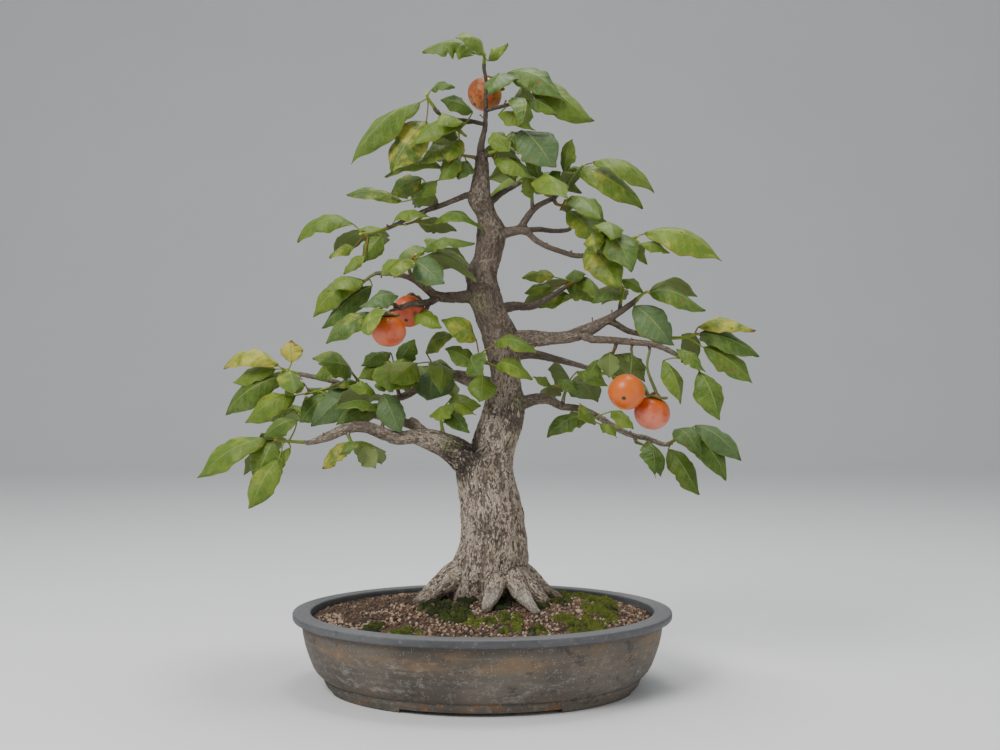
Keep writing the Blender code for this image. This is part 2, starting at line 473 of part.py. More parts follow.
def drain_screens(parts, tools):
    """A thin square mesh over each drain hole, under the soil."""
    half, bottom = SCREEN_SIDE / 2, FLOOR_TOP + GAP
    for name, x in (("drain_screen_left", -DRAIN_X), ("drain_screen_right", DRAIN_X)):
        made = block(name, (x - half, -half, bottom), (x + half, half, bottom + SCREEN_THICK), parts)
        made.data.materials.append(material("drain_screen"))
        for side in (-SCREEN_PITCH / 2, SCREEN_PITCH / 2):
            for y in (-SCREEN_PITCH / 2, SCREEN_PITCH / 2):
                low = (x + side - SCREEN_HOLE / 2, y - SCREEN_HOLE / 2, 0)
                high = (x + side + SCREEN_HOLE / 2, y + SCREEN_HOLE / 2, FLOOR_TOP * 2)
                block("mesh_hole", low, high, tools)
        apply_boolean(made, "DIFFERENCE", tools)


def soil(parts, tools):
    fit = GAP / POT_RATIO
    inside = [(a - fit, z) for a, z in POT_INSIDE[:-1]]
    bottom = FLOOR_TOP + GAP
    outline = [(inside[0][0], bottom)] + inside[1:] + [(inside[-1][0], SOIL_EDGE)]
    profile = SOIL_MOUND + outline[::-1] + [(0, bottom)]
    made = solid("soil", *oval(profile), "soil", parts)
    rod("plug_hole", (0, 0), PLUG_RADIUS + 2 * GAP, PLUG_BOTTOM - GAP, OUTSIDE, PLUG_SIDES, tools)
    half, top = SCREEN_SIDE / 2 + GAP, FLOOR_TOP + SCREEN_THICK + 2 * GAP
    for x in (-DRAIN_X, DRAIN_X):
        block("screen_pocket", (x - half, -half, 0), (x + half, half, top), tools)
    apply_boolean(made, "DIFFERENCE", tools)


def trunk_mesh():
    """The trunk, ring by ring, with soft flutes that grow towards its foot."""
    rings = []
    for z, left, right, depth in TRUNK:
        half = (right - left) / 2
        foot = min(1.0, max(0.0, (FOOT_TOP - z) / (FOOT_TOP - SOIL_MOUND[0][1])))
        share = TRUNK_DEPTH_SHARE + (FOOT_DEPTH_SHARE - TRUNK_DEPTH_SHARE) * foot
        flute = 0.035 + 0.09 * max(0.0, (150 - z) / 60)
        ring = []
        for i in range(TRUNK_SIDES):
            a = 2 * math.pi * i / TRUNK_SIDES
            r = half * (1 + flute * (0.6 * math.sin(3 * a + 0.8) + 0.5 * math.sin(5 * a + z / 55)))
            middle = seen((left + right) / 2, z, depth)
            ring.append(middle + Vector((r * math.cos(a), share * r * math.sin(a), 0)))
        rings.append(ring)
    return loft(rings)


def branch_sides(radius):
    return 4 if radius < 5 else 5 if radius < 9 else 6


def branch_points(name):
    return [seen(x, z, depth) for x, z, depth, _ in BRANCHES[name]]


def at_end(spray):
    """Whether a spray goes on from the end of its branch."""
    return spray[0] in BRANCHES and spray[1] == len(BRANCHES[spray[0]]) - 1


def grown_from(branch, at):
    """The point inside the wood that a spray, or a fruit's stalk, starts from."""
    if branch == "trunk":
        return seen(*at)
    return branch_points(branch)[at]


def wood_meshes():
    """Every piece of wood as points and faces. A spray at a branch's end lengthens it, others have a spur."""
    ends = {spray[0]: spray[2][0] for spray in SPRAYS.values() if at_end(spray)}
    meshes = [trunk_mesh()]
    for name, rows in BRANCHES.items():
        points, radii = branch_points(name), [row[3] for row in rows]
        if name in ends:
            points.append(seen(*ends[name]))
            radii.append(TWIG_RADIUS)
        meshes.append(tube(points, radii, branch_sides(radii[0])))
    for spray in SPRAYS.values():
        if not at_end(spray):
            route = [grown_from(*spray[:2]), seen(*spray[2][0])]
            meshes.append(tube(route, [TWIG_RADIUS * 1.25, TWIG_RADIUS], TWIG_SIDES))
    for *_, branch, at, route in FRUITS:
        points = [grown_from(branch, at), seen(*route[0])]
        meshes.append(tube(points, [STALK_RADIUS * 1.3, STALK_RADIUS], 4))
    return meshes


def tree(parts, tools):
    meshes = wood_meshes()
    made = solid("tree", *meshes[0], "bark", parts)
    for i, (points, faces) in enumerate(meshes[1:]):
        solid(f"wood_{i}", points, faces, "bark", tools)
    apply_boolean(made, "UNION", tools)
    mound = [(r, z + GAP) for r, z in SOIL_MOUND]
    below = mound + [(OUTSIDE, mound[-1][1]), (OUTSIDE, 0), (0, 0)]
    solid("below_soil", *oval(below), "soil", tools)
    apply_boolean(made, "DIFFERENCE", tools)
    rod("plug", (0, 0), PLUG_RADIUS, PLUG_BOTTOM, PLUG_TOP, PLUG_SIDES, tools)
    apply_boolean(made, "UNION", tools)


def fruit_mesh(centre, radius, share, axis):
    """A persimmon: a squat ball with a nearly flat shoulder under the calyx."""
    turn = UP.rotation_difference(Vector(axis).normalized())
    points, faces = turned([(r * radius, z * radius * share) for r, z in FRUIT_PROFILE], FRUIT_SIDES)
    return [centre + turn @ p for p in points], faces


def calyx_mesh(centre, radius, share, axis):
    """The four-lobed plate on the fruit's shoulder."""
    turn = UP.rotation_difference(Vector(axis).normalized())
    rings = []
    for level in (0, CALYX_THICK):
        rim = []
        for i in range(CALYX_SIDES):
            a = 2 * math.pi * i / CALYX_SIDES
            lobe = abs(math.cos(2 * a)) ** 0.7
            r = radius * (CALYX_NOTCH + (CALYX_REACH - CALYX_NOTCH) * lobe)
            height = FRUIT_TOP * radius * share + GAP + level - 0.02 * radius * lobe
            rim.append(Vector((r * math.cos(a), r * math.sin(a), height)))
        rings.append([centre + turn @ p for p in rim])
    return loft(rings)


def stalk_points(fruit):
    x, z, depth, radius, share, axis, branch, at, route = fruit
    way = Vector(axis).normalized()
    foot = seen(*route[0])
    start = (foot - grown_from(branch, at)).normalized()
    plate = seen(x, z, depth) + way * (FRUIT_TOP * radius * share + GAP + CALYX_THICK * 0.6)
    return [foot + start * GAP] + [seen(*p) for p in route[1:]] + [plate + way * 4, plate], start


def fruits(parts, tools):
    for i, fruit in enumerate(FRUITS, 1):
        x, z, depth, radius, share, axis = fruit[:6]
        centre = seen(x, z, depth)
        solid(f"fruit_{i}", *fruit_mesh(centre, radius, share, axis), "fruit", parts)
        made = solid(f"calyx_{i}", *calyx_mesh(centre, radius, share, axis), "calyx", parts)
        route, start = stalk_points(fruit)
        solid("stalk", *tube(route, [STALK_RADIUS] * len(route), STALK_SIDES, start), "calyx", tools)
        apply_boolean(made, "UNION", tools)


class Leaf:
    """One leaf: a stalk from its root to the blade's base, and a bowed, folded and waved blade."""

    def __init__(self, root, base, tip, face, bow, width, fold, twist, stations):
        self.root, self.base, self.tip, self.stations = root, base, tip, stations
        self.length = (tip - base).length
        self.way = (tip - base).normalized()
        toward = (TO_VIEWER - self.way * TO_VIEWER.dot(self.way)).normalized()
        above = self.way.cross(toward)
        if above.z + 0.2 * above.x * math.copysign(1, base.x) < 0:
            above = -above
        turned = math.radians(face)
        self.upper = toward * math.cos(turned) + above * math.sin(turned)
        self.side = self.way.cross(self.upper)
        self.bow, self.width = bow * self.length, width * self.length
        self.fold, self.twist = math.radians(fold), math.radians(twist)

    def rib(self, t):
        return self.base.lerp(self.tip, t) + self.upper * (self.bow * 4 * t * (1 - t) * (1.3 - 0.6 * t))

    def frame(self, t):
        way = (self.rib(min(t + 0.02, 1)) - self.rib(max(t - 0.02, 0))).normalized()
        upper = self.side.cross(way)
        turned = self.twist * (t - 0.3)
        side = self.side * math.cos(turned) + upper * math.sin(turned)
        return way, side, side.cross(way)

    def half_width(self, t):
        rounded = math.sin(math.pi * t ** 0.86) ** 0.72
        return self.width / 2 * rounded * (1 - 0.42 * max(0.0, (t - 0.72) / 0.28) ** 1.2)

    def at(self, t, across):
        """A point of the blade's middle surface; across runs from -1 at the left edge to 1."""
        _, side, upper = self.frame(t)
        half = self.half_width(t) * across
        lift = abs(half) * math.sin(self.fold)
        ripple = LEAF_WAVE * across * across * math.sin(9 * t + 2.4 * across + self.length)
        return self.rib(t) + side * (half * math.cos(self.fold)) + upper * (lift + ripple)

    def mesh(self, thick):
        """The blade, three points across at each station, and its stalk, as one closed body."""
        points = []
        stem = (self.base - self.root).normalized()
        for place, way in ((self.root, stem), (self.base, (stem + self.frame(0)[0]).normalized())):
            side = (self.side - way * self.side.dot(way)).normalized()
            upper = side.cross(way)
            size = PETIOLE_RADIUS * (0.55 if place is self.root else 1) + (thick - LEAF_THICK) / 2
            points += [place - side * size + upper * size * 0.6, place + side * size + upper * size * 0.6]
            points.append(place - upper * size)
        for t in self.stations:
            upper = self.frame(t)[2] * (thick / 2)
            points += [self.at(t, c) + upper for c in (-1, 0, 1)]
            points += [self.at(t, c) - upper for c in (-1, 0, 1)]
        points.append(self.tip)
        faces = [(1, 0, 2), (0, 1, 4), (0, 4, 3), (0, 3, 5), (0, 5, 2), (2, 5, 4), (2, 4, 1)]
        faces += [(3, 4, 7), (3, 7, 6), (4, 8, 7), (3, 6, 9), (4, 11, 8)]
        faces += [(3, 9, 5), (5, 9, 10), (5, 10, 11), (5, 11, 4)]
        for k in range(len(self.stations) - 1):
            a, b = 6 + 6 * k, 12 + 6 * k
            faces += [(a, a + 1, b + 1), (a, b + 1, b)]
            faces += [(a + 1, a + 2, b + 2), (a + 1, b + 2, b + 1)]
            faces += [(a + 3, b + 4, a + 4), (a + 3, b + 3, b + 4)]
            faces += [(a + 4, b + 5, a + 5), (a + 4, b + 4, b + 5)]
            faces += [(a, b, b + 3), (a, b + 3, a + 3), (a + 2, a + 5, b + 5), (a + 2, b + 5, b + 2)]
        a, end = 6 * len(self.stations), len(points) - 1
        faces += [(a, a + 1, end), (a + 1, a + 2, end), (a + 3, end, a + 4), (a + 4, end, a + 5)]
        faces += [(a, end, a + 3), (a + 2, a + 5, end)]
        return points, faces


class Crowd:
    """What is already in place, and what it belongs to, so that the next leaf can be kept clear of it."""

    def __init__(self):
        self.held = []

    def add(self, owner, points, faces):
        low = [min(p[k] for p in points) for k in range(3)]
        high = [max(p[k] for p in points) for k in range(3)]
        self.held.append((owner, low, high, BVHTree.FromPolygons(points, faces)))

    def clear(self, points, faces, skipped=()):
        low = [min(p[k] for p in points) for k in range(3)]
        high = [max(p[k] for p in points) for k in range(3)]
        tree_of = BVHTree.FromPolygons(points, faces)
        for other, its_low, its_high, its_tree in self.held:
            if other in skipped:
                continue
            if any(low[k] > its_high[k] or high[k] < its_low[k] for k in range(3)):
                continue
            if tree_of.overlap(its_tree):
                return False
        return True


def crosses_itself(points, faces):
    """Whether two faces that share no point cross."""
    tree_of = BVHTree.FromPolygons(points, faces)
    return any(not set(faces[a]) & set(faces[b]) for a, b in tree_of.overlap(tree_of))


def free_places(spray, leaves):
    """The places along a twig that are still free for a leaf's stalk."""
    route = twig_route(spray)[0][1:]
    places = []
    for a, b in zip(route, route[1:]):
        count = max(2, round((b - a).length / STALK_STEP))
        places += [a.lerp(b, (k + 0.5) / count) for k in range(count)]
    return [p for p in places if all((p - leaf.root).length > STALK_STEP for leaf in leaves)] or places


def twig_route(spray):
    branch, at, route = spray[:3]
    points = [seen(*p) for p in route]
    start = (points[0] - grown_from(branch, at)).normalized()
    points[0] = points[0] + start * GAP
    return points, start


def twig_mesh(spray):
    points, start = twig_route(spray)
    radii = [TWIG_RADIUS] + [TWIG_MIDDLE] * (len(points) - 2) + [TWIG_TIP]
    return tube(points, radii, TWIG_SIDES, start)


def drawn_leaf(row, spray, leaves, tries, chance):
    """A leaf of the drawing. Its depth and turn change with each try, and later its place a little."""
    x, z, tip_x, tip_z, face, bow, width = row
    stray = max(0, tries - LOOSE_TRIES) * 0.12
    x, z, tip_x, tip_z = [v + chance.uniform(-stray, stray) for v in (x, z, tip_x, tip_z)]
    route, deep = twig_route(spray)[0], spray[3]
    flat = min(route, key=lambda p: (Vector(drawn(p)) - Vector((x, z))).length)
    spread = 6 + 1.6 * tries
    base = seen(x, z, flat.y + chance.uniform(-0.3, 0.3) * spread)
    tip = seen(tip_x, tip_z, base.y + deep + chance.uniform(-1, 1) * spread)
    root = min(free_places(spray, leaves), key=lambda p: (p - base).length)
    turn = face + chance.uniform(-1, 1) * min(tries, 25)
    fold, twist = chance.uniform(-28, -8), chance.uniform(-25, 25)
    stations = LONG_STATIONS if (tip - base).length > LONG_LEAF else SHORT_STATIONS
    return Leaf(root, base, tip, turn, bow, width * BROADER, fold, twist, stations)


def added_leaf(spray, area, leaves, chance):
    """A leaf that the rule adds: it leaves the twig in a chance direction, droops, and stays in the area."""
    root = chance.choice(free_places(spray, leaves))
    around = chance.uniform(0, 2 * math.pi)
    out = Vector((math.cos(around), math.sin(around) + 0.25, chance.uniform(-0.2, 0.5))).normalized()
    base = root + out * chance.uniform(7, 11)
    fall = Vector((0, 0, chance.uniform(-0.9, -0.1)))
    tip = base + (out + fall).normalized() * chance.uniform(54, 80)
    left, right, bottom, top = area
    for point in (base, base.lerp(tip, 0.5), tip):
        x, z = drawn(point)
        if not (left < x < right and bottom < z < top):
            return None
    flat = Vector((out.x, out.y, 0)).normalized()
    face = math.degrees(math.atan2(0.8, -flat.y))
    bow, width = chance.uniform(0.12, 0.26), chance.uniform(0.5, 0.62)
    fold, twist = chance.uniform(-28, -8), chance.uniform(-25, 25)
    return Leaf(root, base, tip, face, bow, width, fold, twist, SHORT_STATIONS)


def spray_area(name, spray):
    """The part of the drawing that a spray's drawn leaves cover."""
    if name in BACK_AREAS:
        return BACK_AREAS[name]
    xs = [v for row in spray[5] for v in (row[0], row[2])] + [p[0] for p in spray[2]]
    zs = [v for row in spray[5] for v in (row[1], row[3])] + [p[1] for p in spray[2]]
    return min(xs) - 6, max(xs) + 6, min(zs) - 6, max(zs) + 10


def grow_leaves():
    """The leaves of each spray. Drawn leaves come first, then the rule's, each clear of all before it."""
    crowd = Crowd()
    for points, faces in wood_meshes():
        crowd.add("wood", points, faces)
    for fruit in FRUITS:
        x, z, depth, radius, share, axis = fruit[:6]
        centre = seen(x, z, depth)
        crowd.add("fruit", *fruit_mesh(centre, radius + CLEARANCE, share, axis))
        crowd.add("fruit", *calyx_mesh(centre, radius, share, axis))
        route, start = stalk_points(fruit)
        crowd.add("fruit", *tube(route, [STALK_RADIUS + 1] * len(route), STALK_SIDES, start))
    for name, spray in SPRAYS.items():
        points, start = twig_route(spray)
        crowd.add(name, *tube(points, [TWIG_RADIUS + 1] * len(points), TWIG_SIDES, start))
    grown = {name: [] for name in SPRAYS}
    for number, (name, spray) in enumerate(SPRAYS.items()):
        chance = random.Random(SEED + number)
        for row in spray[5]:
            for tries in range(TRIES):
                leaf = drawn_leaf(row, spray, grown[name], tries, chance)
                if keep(leaf, name, crowd, grown):
                    break
            else:
                print("no room for", name, row)
    for number, (name, spray) in enumerate(SPRAYS.items()):
        chance = random.Random(ADDED_SEED + number)
        area = spray_area(name, spray)
        wanted = len(grown[name]) + spray[4]
        for _ in range(TRIES * 3):
            leaf = added_leaf(spray, area, grown[name], chance)
            if leaf and len(grown[name]) < wanted:
                keep(leaf, name, crowd, grown)
    return grown


def keep(leaf, name, crowd, grown):
    """Keeps the leaf if it, made a little thicker, crosses nothing but its own twig and the stalks there."""
    points, faces = leaf.mesh(LEAF_THICK + CLEARANCE)
    if not crowd.clear(points, faces, (name, name + " stalks")):
        return False
    blade = [[i - 6 for i in face] for face in faces if min(face) >= 6]
    if not crowd.clear(points[6:], blade) or crosses_itself(*leaf.mesh(LEAF_THICK)):
        return False
    crowd.add(name + " blades", points[6:], blade)
    crowd.add(name + " stalks", points[:12], [face for face in faces if min(face) < 6])
    grown[name].append(leaf)
    return True


def sprays(parts, tools):
    grown = grow_leaves()
    for name, spray in SPRAYS.items():
        made = solid(f"leaves_{name}", *twig_mesh(spray), "leaf", parts)
        for i, leaf in enumerate(grown[name]):
            solid(f"{name}_{i}", *leaf.mesh(LEAF_THICK), "leaf", tools)
        apply_boolean(made, "UNION", tools, "MANIFOLD")
    return grown


def centre_on_origin(parts):
    """Moves everything so that the whole box stands on the origin at the middle of its bottom."""
    points = [v.co for obj in parts.objects for v in obj.data.vertices]
    low = [min(p[k] for p in points) for k in range(3)]
    high = [max(p[k] for p in points) for k in range(3)]
    shift = Vector((-(low[0] + high[0]) / 2, -(low[1] + high[1]) / 2, -low[2]))
    for obj in parts.objects:
        for vertex in obj.data.vertices:
            vertex.co += shift
    return shift / MM


def main():
    for obj in list(bpy.data.objects):
        bpy.data.objects.remove(obj)
    parts = bpy.data.collections.new("persimmon_bonsai")
    tools = bpy.data.collections.new("tools")
    bpy.context.scene.collection.children.link(parts)
    bpy.context.scene.collection.children.link(tools)
    tools.hide_render = True
    pot(parts, tools)
    drain_screens(parts, tools)
    soil(parts, tools)
    tree(parts, tools)
    fruits(parts, tools)
    grown = sprays(parts, tools)
    for obj in parts.objects:
        obj.data.shade_smooth()
        obj.data.set_sharp_from_angle(angle=SHARP)
    print("moved by", [round(v, 3) for v in centre_on_origin(parts)])
    print("leaves", sum(len(leaves) for leaves in grown.values()))


main()
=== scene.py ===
# %% [markdown]
# # A persimmon bonsai, dressed from the soil up
# The packed model is plain: a faceted bowl, faceted wood, flat-sided leaves. This lesson makes the finer
# piece for each one's place: a thrown pot, loose grit and moss, flaking bark, and leaves with veins. Each
# stays where its solid is, because the solids are what the physics uses.

# %% Load the frame
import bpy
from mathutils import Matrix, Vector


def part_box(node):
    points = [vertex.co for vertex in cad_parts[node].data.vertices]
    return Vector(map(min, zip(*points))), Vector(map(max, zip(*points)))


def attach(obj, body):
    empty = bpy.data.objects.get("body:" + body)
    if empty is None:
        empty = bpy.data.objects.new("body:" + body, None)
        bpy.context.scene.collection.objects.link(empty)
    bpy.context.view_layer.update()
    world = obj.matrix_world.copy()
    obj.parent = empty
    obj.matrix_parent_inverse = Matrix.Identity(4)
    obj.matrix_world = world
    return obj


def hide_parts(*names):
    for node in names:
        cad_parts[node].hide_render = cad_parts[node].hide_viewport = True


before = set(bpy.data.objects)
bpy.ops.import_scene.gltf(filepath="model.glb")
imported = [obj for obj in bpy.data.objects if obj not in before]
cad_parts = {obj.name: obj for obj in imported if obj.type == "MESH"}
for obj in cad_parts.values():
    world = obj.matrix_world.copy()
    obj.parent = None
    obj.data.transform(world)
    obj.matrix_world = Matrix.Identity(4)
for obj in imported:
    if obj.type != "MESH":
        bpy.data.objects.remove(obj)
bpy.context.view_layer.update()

# %% Units and the pot's centre
import math
import random

import bmesh
import bpy
import numpy as np
from mathutils import Quaternion, Vector, noise
from mathutils.bvhtree import BVHTree

MM = 0.001
pot_low, pot_high = [Vector(corner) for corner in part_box("pot")]
POT_CENTRE = Vector(((pot_low.x + pot_high.x) / 2, (pot_low.y + pot_high.y) / 2, 0))
print("pot centre:", [round(v, 4) for v in POT_CENTRE])


# %% Helpers for objects
def place(point):
    """A point in millimetres from the pot's centre, as a point of the scene in metres."""
    return POT_CENTRE + Vector(point) * MM


def only(obj):
    """Selects one object alone and makes it active, which most operators need."""
    bpy.ops.object.select_all(action="DESELECT")
    obj.select_set(True)
    bpy.context.view_layer.objects.active = obj


def added(operator, **settings):
    """Runs an operator that adds an object while nothing is selected, and gives that object."""
    bpy.ops.object.select_all(action="DESELECT")
    operator(**settings)
    return bpy.context.object


def apply_modifiers(obj):
    only(obj)
    for modifier in list(obj.modifiers):
        bpy.ops.object.modifier_apply(modifier=modifier.name)


def settle(obj):
    """Puts an object made round the origin in its place, and bakes the place into its mesh."""
    only(obj)
    obj.location = POT_CENTRE
    bpy.ops.object.transform_apply(location=True, rotation=True, scale=True)


def edit(obj, kind="EDGE", wanted=None):
    """Opens an object for editing, all selected, or the edges or faces for which wanted says yes."""
    only(obj)
    bpy.ops.object.mode_set(mode="EDIT")
    bpy.ops.mesh.select_mode(type=kind)
    bpy.ops.mesh.select_all(action="DESELECT" if wanted else "SELECT")
    if wanted:
        shape = bmesh.from_edit_mesh(obj.data)
        for part in shape.edges if kind == "EDGE" else shape.faces:
            part.select_set(wanted(part))


def edited():
    """Closes the object that is open for editing."""
    bpy.ops.object.mode_set(mode="OBJECT")


def squeeze(obj, share):
    """Makes an object narrower from front to back."""
    edit(obj)
    bpy.ops.transform.resize(value=(1, share, 1), center_override=(0, 0, 0))
    edited()


print("helpers for objects:", [helper.__name__ for helper in (place, only, added, edit, squeeze)])


# %% Helpers for meshes
def mesh_values(obj, name="co", points=None):
    """The places of a mesh's points, or their normals, as rows of an array."""
    points = points or obj.data.vertices
    values = np.empty(len(points) * 3, np.float32)
    points.foreach_get(name, values)
    return values.reshape(-1, 3).astype(float)


def move_points(obj, points):
    obj.data.vertices.foreach_set("co", points.astype(np.float32).ravel())


def taken_from(obj):
    """A finished shape's points and faces, for copying. The shape itself goes."""
    points, faces = mesh_values(obj), [tuple(face.vertices) for face in obj.data.polygons]
    bpy.data.objects.remove(obj)
    return points, faces


def columns(*values):
    """Values side by side, with each plain number repeated for every point."""
    return np.stack(np.broadcast_arrays(*values), axis=1).astype(float)


def mesh_object(name, points, faces):
    mesh = bpy.data.meshes.new(name)
    mesh.from_pydata(points, [], faces)
    made = bpy.data.objects.new(name, mesh)
    bpy.context.scene.collection.objects.link(made)
    return made


print("points of the pot's solid:", len(mesh_values(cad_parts["pot"])))

# %% [markdown]
# ## Floor, light and camera
# A pale floor that sweeps up into a pale wall shows the leaf edges clearly and has no corner behind the
# tree. One broad lamp on the left does what the sky did, and two weaker ones keep the shaded side open. The
# camera stands where the oval of the pot's lip says it stood: 1.52 m away, level, 0.386 m up.

# %% Sweep of the floor into the wall
FLOOR_SIZE = 9.0
FLOOR_FRONT = -4.0
WALL_HEIGHT = 5.0
SWEEP_RADIUS = 1.6
SWEEP_SEGMENTS = 24
TOUCH = 0.01


def at_back(edge):
    return all(v.co.y > FLOOR_SIZE / 2 - TOUCH for v in edge.verts)


floor = added(bpy.ops.mesh.primitive_plane_add, size=FLOOR_SIZE,
              location=(0, FLOOR_FRONT + FLOOR_SIZE / 2, 0))
floor.name = "floor"
edit(floor, "EDGE", at_back)
bpy.ops.mesh.extrude_region_move(TRANSFORM_OT_translate={"value": (0, 0, WALL_HEIGHT)})
edited()
edit(floor, "EDGE", lambda edge: at_back(edge) and all(v.co.z < TOUCH for v in edge.verts))
bpy.ops.mesh.bevel(offset=SWEEP_RADIUS, segments=SWEEP_SEGMENTS, affect="EDGES")
edited()
bpy.ops.object.shade_smooth()
print("floor faces:", len(floor.data.polygons))

# %% Camera where the photographer stood
EYE = Vector((21.9, -1520.0, 386.0))
LENS = 43.8
SENSOR = 36.0

camera = added(bpy.ops.object.camera_add, location=place(EYE), rotation=(math.radians(90), 0, 0))
camera.data.lens = LENS
camera.data.sensor_width = SENSOR
bpy.context.scene.camera = camera
print("camera at", [round(v, 3) for v in camera.location])

# %% Lamps and sky
LAMPS = {
    "sky_left": ((-1.5, -1.8, 2.3), 1.4, 72.0),
    "fill_right": ((2.2, -1.6, 1.1), 1.8, 10.0),
    "top": ((0.3, 0.3, 2.6), 1.4, 42.0),
}
AIM = Vector((0, 0, 0.4))
SKY_COLOUR = (0.9, 0.95, 1.0, 1)
SKY_STRENGTH = 0.36

for name, (where, size, power) in LAMPS.items():
    lamp = added(bpy.ops.object.light_add, type="AREA", location=where)
    lamp.name = name
    lamp.data.size = size
    lamp.data.energy = power
    lamp.rotation_euler = (AIM - Vector(where)).to_track_quat("-Z", "Y").to_euler()
sky = bpy.context.scene.world or bpy.data.worlds.new("sky")
bpy.context.scene.world = sky
sky.use_nodes = True
background = sky.node_tree.nodes["Background"]
background.inputs["Color"].default_value = SKY_COLOUR
background.inputs["Strength"].default_value = SKY_STRENGTH
print("lamps:", len(LAMPS))

# %% [markdown]
# ## A way to write finishes
# A finish is a graph of nodes, hard to read when built one call at a time. A small class wraps a socket so
# that + - * and ** add a Math node, and a finish's methods add the rest: noise, cells, a soft step, a mix of
# two colours, a bump. Every pattern reads the piece's own coordinates or values that the mesh carries, so it
# stays put when the piece moves.

# %% Sockets that do sums
def feed(tree, slot, value):
    """Links a socket's value into a node's slot, or sets the slot to a plain value."""
    if isinstance(value, Wire):
        tree.links.new(value.socket, slot)
    elif isinstance(value, tuple) and len(value) == 3 and len(slot.default_value) == 4:
        slot.default_value = (*value, 1)
    else:
        slot.default_value = value


class Wire:
    """A value in a finish that can be used in sums."""

    def __init__(self, tree, socket):
        self.tree, self.socket = tree, socket

    def sum(self, operation, *values):
        node = self.tree.nodes.new("ShaderNodeMath")
        node.operation = operation
        for slot, value in zip(node.inputs, values):
            feed(self.tree, slot, value)
        return Wire(self.tree, node.outputs[0])

    def __abs__(self):
        return self.sum("ABSOLUTE", self)

    def fraction(self):
        return self.sum("FRACT", self)

    def larger(self, other):
        return self.sum("MAXIMUM", self, other)


SUMS = {"add": "ADD", "sub": "SUBTRACT", "mul": "MULTIPLY", "pow": "POWER"}
for sign, sum_name in SUMS.items():
    setattr(Wire, f"__{sign}__", lambda self, other, kind=sum_name: self.sum(kind, self, other))
    setattr(Wire, f"__r{sign}__", lambda self, other, kind=sum_name: self.sum(kind, other, self))
print("sums:", list(SUMS.values()))


# %% A finish in the making
class Finish:
    """A material whose nodes are added by methods, and whose Principled shader takes the results."""

    def __init__(self, name):
        self.material = bpy.data.materials.new(name)
        self.material.use_nodes = True
        self.tree = self.material.node_tree
        self.shader = self.tree.nodes["Principled BSDF"]

    def node(self, kind, inputs, output=0, **settings):
        """Adds a node, sets and feeds it, and gives one of its outputs."""
        made = self.tree.nodes.new("ShaderNode" + kind)
        for name, value in settings.items():
            setattr(made, name, value)
        for name, value in inputs.items():
            feed(self.tree, made.inputs[name], value)
        return Wire(self.tree, made.outputs[output])

    def place(self):
        return self.node("TexCoord", {}, "Object")

    def carried(self, name, output="Color"):
        """A value that the mesh carries at each point."""
        return self.node("Attribute", {}, output, attribute_name=name)

    def split(self, vector):
        """The three parts of a vector or a colour."""
        made = self.node("SeparateXYZ", {0: vector}).socket.node
        return [Wire(self.tree, socket) for socket in made.outputs]

    def joined(self, x, y, z):
        return self.node("CombineXYZ", {0: x, 1: y, 2: z})

    def scaled(self, vector, by):
        return self.node("VectorMath", {0: vector, 1: by}, operation="MULTIPLY")

    def clouds(self, vector, scale, detail=3.0, roughness=0.55):
        """Soft noise. More detail gives finer marks, and roughness makes those stronger."""
        inputs = {"Vector": vector, "Scale": scale, "Detail": detail, "Roughness": roughness}
        return self.node("TexNoise", inputs)

    def warped(self, vector, scale, amount):
        """The same place, pushed about by noise, so that a pattern read there isn't regular."""
        push = self.node("TexNoise", {"Vector": vector, "Scale": scale, "Detail": 2.0}, "Color")
        return self.node("VectorMath", {0: push, 1: (amount,) * 3, 2: vector}, operation="MULTIPLY_ADD")

    def cells(self, vector, scale, output="Distance", feature="F1"):
        return self.node("TexVoronoi", {"Vector": vector, "Scale": scale}, output, feature=feature)

    def step(self, value, low, high):
        """0 below low, 1 above high, with a smooth change between them. low may be the larger one."""
        inputs = {"Value": value, "From Min": low, "From Max": high}
        return self.node("MapRange", inputs, interpolation_type="SMOOTHSTEP")

    def mix(self, share, first, second):
        """share of the second colour in the first."""
        return self.node("Mix", {0: share, 6: first, 7: second}, 2, data_type="RGBA")

    def layers(self, colour, *coats):
        """A colour with coats laid over it, each given as its share and its own colour."""
        for share, coat in coats:
            colour = self.mix(share, colour, coat)
        return colour

    def bump(self, height, distance, strength=1.0):
        inputs = {"Height": height, "Distance": distance, "Strength": strength}
        return self.node("Bump", inputs, "Normal")

    def finish(self, **inputs):
        for name, value in inputs.items():
            feed(self.tree, self.shader.inputs[name.replace("_", " ")], value)
        return self.material


print("ways to add to a finish:", [way for way in vars(Finish) if not way.startswith("_")])


# %% Dress a piece, and the first finish
def paint(obj, *materials):
    obj.data.materials.clear()
    for material in materials:
        obj.data.materials.append(material)


def dress(piece, slot, *nodes):
    """Hangs a finished piece on the root, so that it moves with the whole, and hides these solids. The slot
    is not used.
    """
    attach(piece, "root")
    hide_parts(*nodes)


backdrop = Finish("backdrop")
faint = backdrop.clouds(backdrop.place(), 3.0)
paint(floor, backdrop.finish(
    Base_Color=backdrop.mix(faint, (0.8, 0.8, 0.79), (0.84, 0.84, 0.83)), Roughness=0.9))
print("nodes in the backdrop's finish:", len(backdrop.tree.nodes))

# %% [markdown]
# ## The pot
# The pot is brown stoneware, fired without glaze. Its wall leans out, a thick flat lip rolls over the top,
# and a narrow groove sets off the foot. It is modelled as on a wheel: a ring is drawn up, widened and
# narrowed until the outline is there. The round pot is then squeezed into an oval, and the gaps between the
# feet and the drain holes are cut.

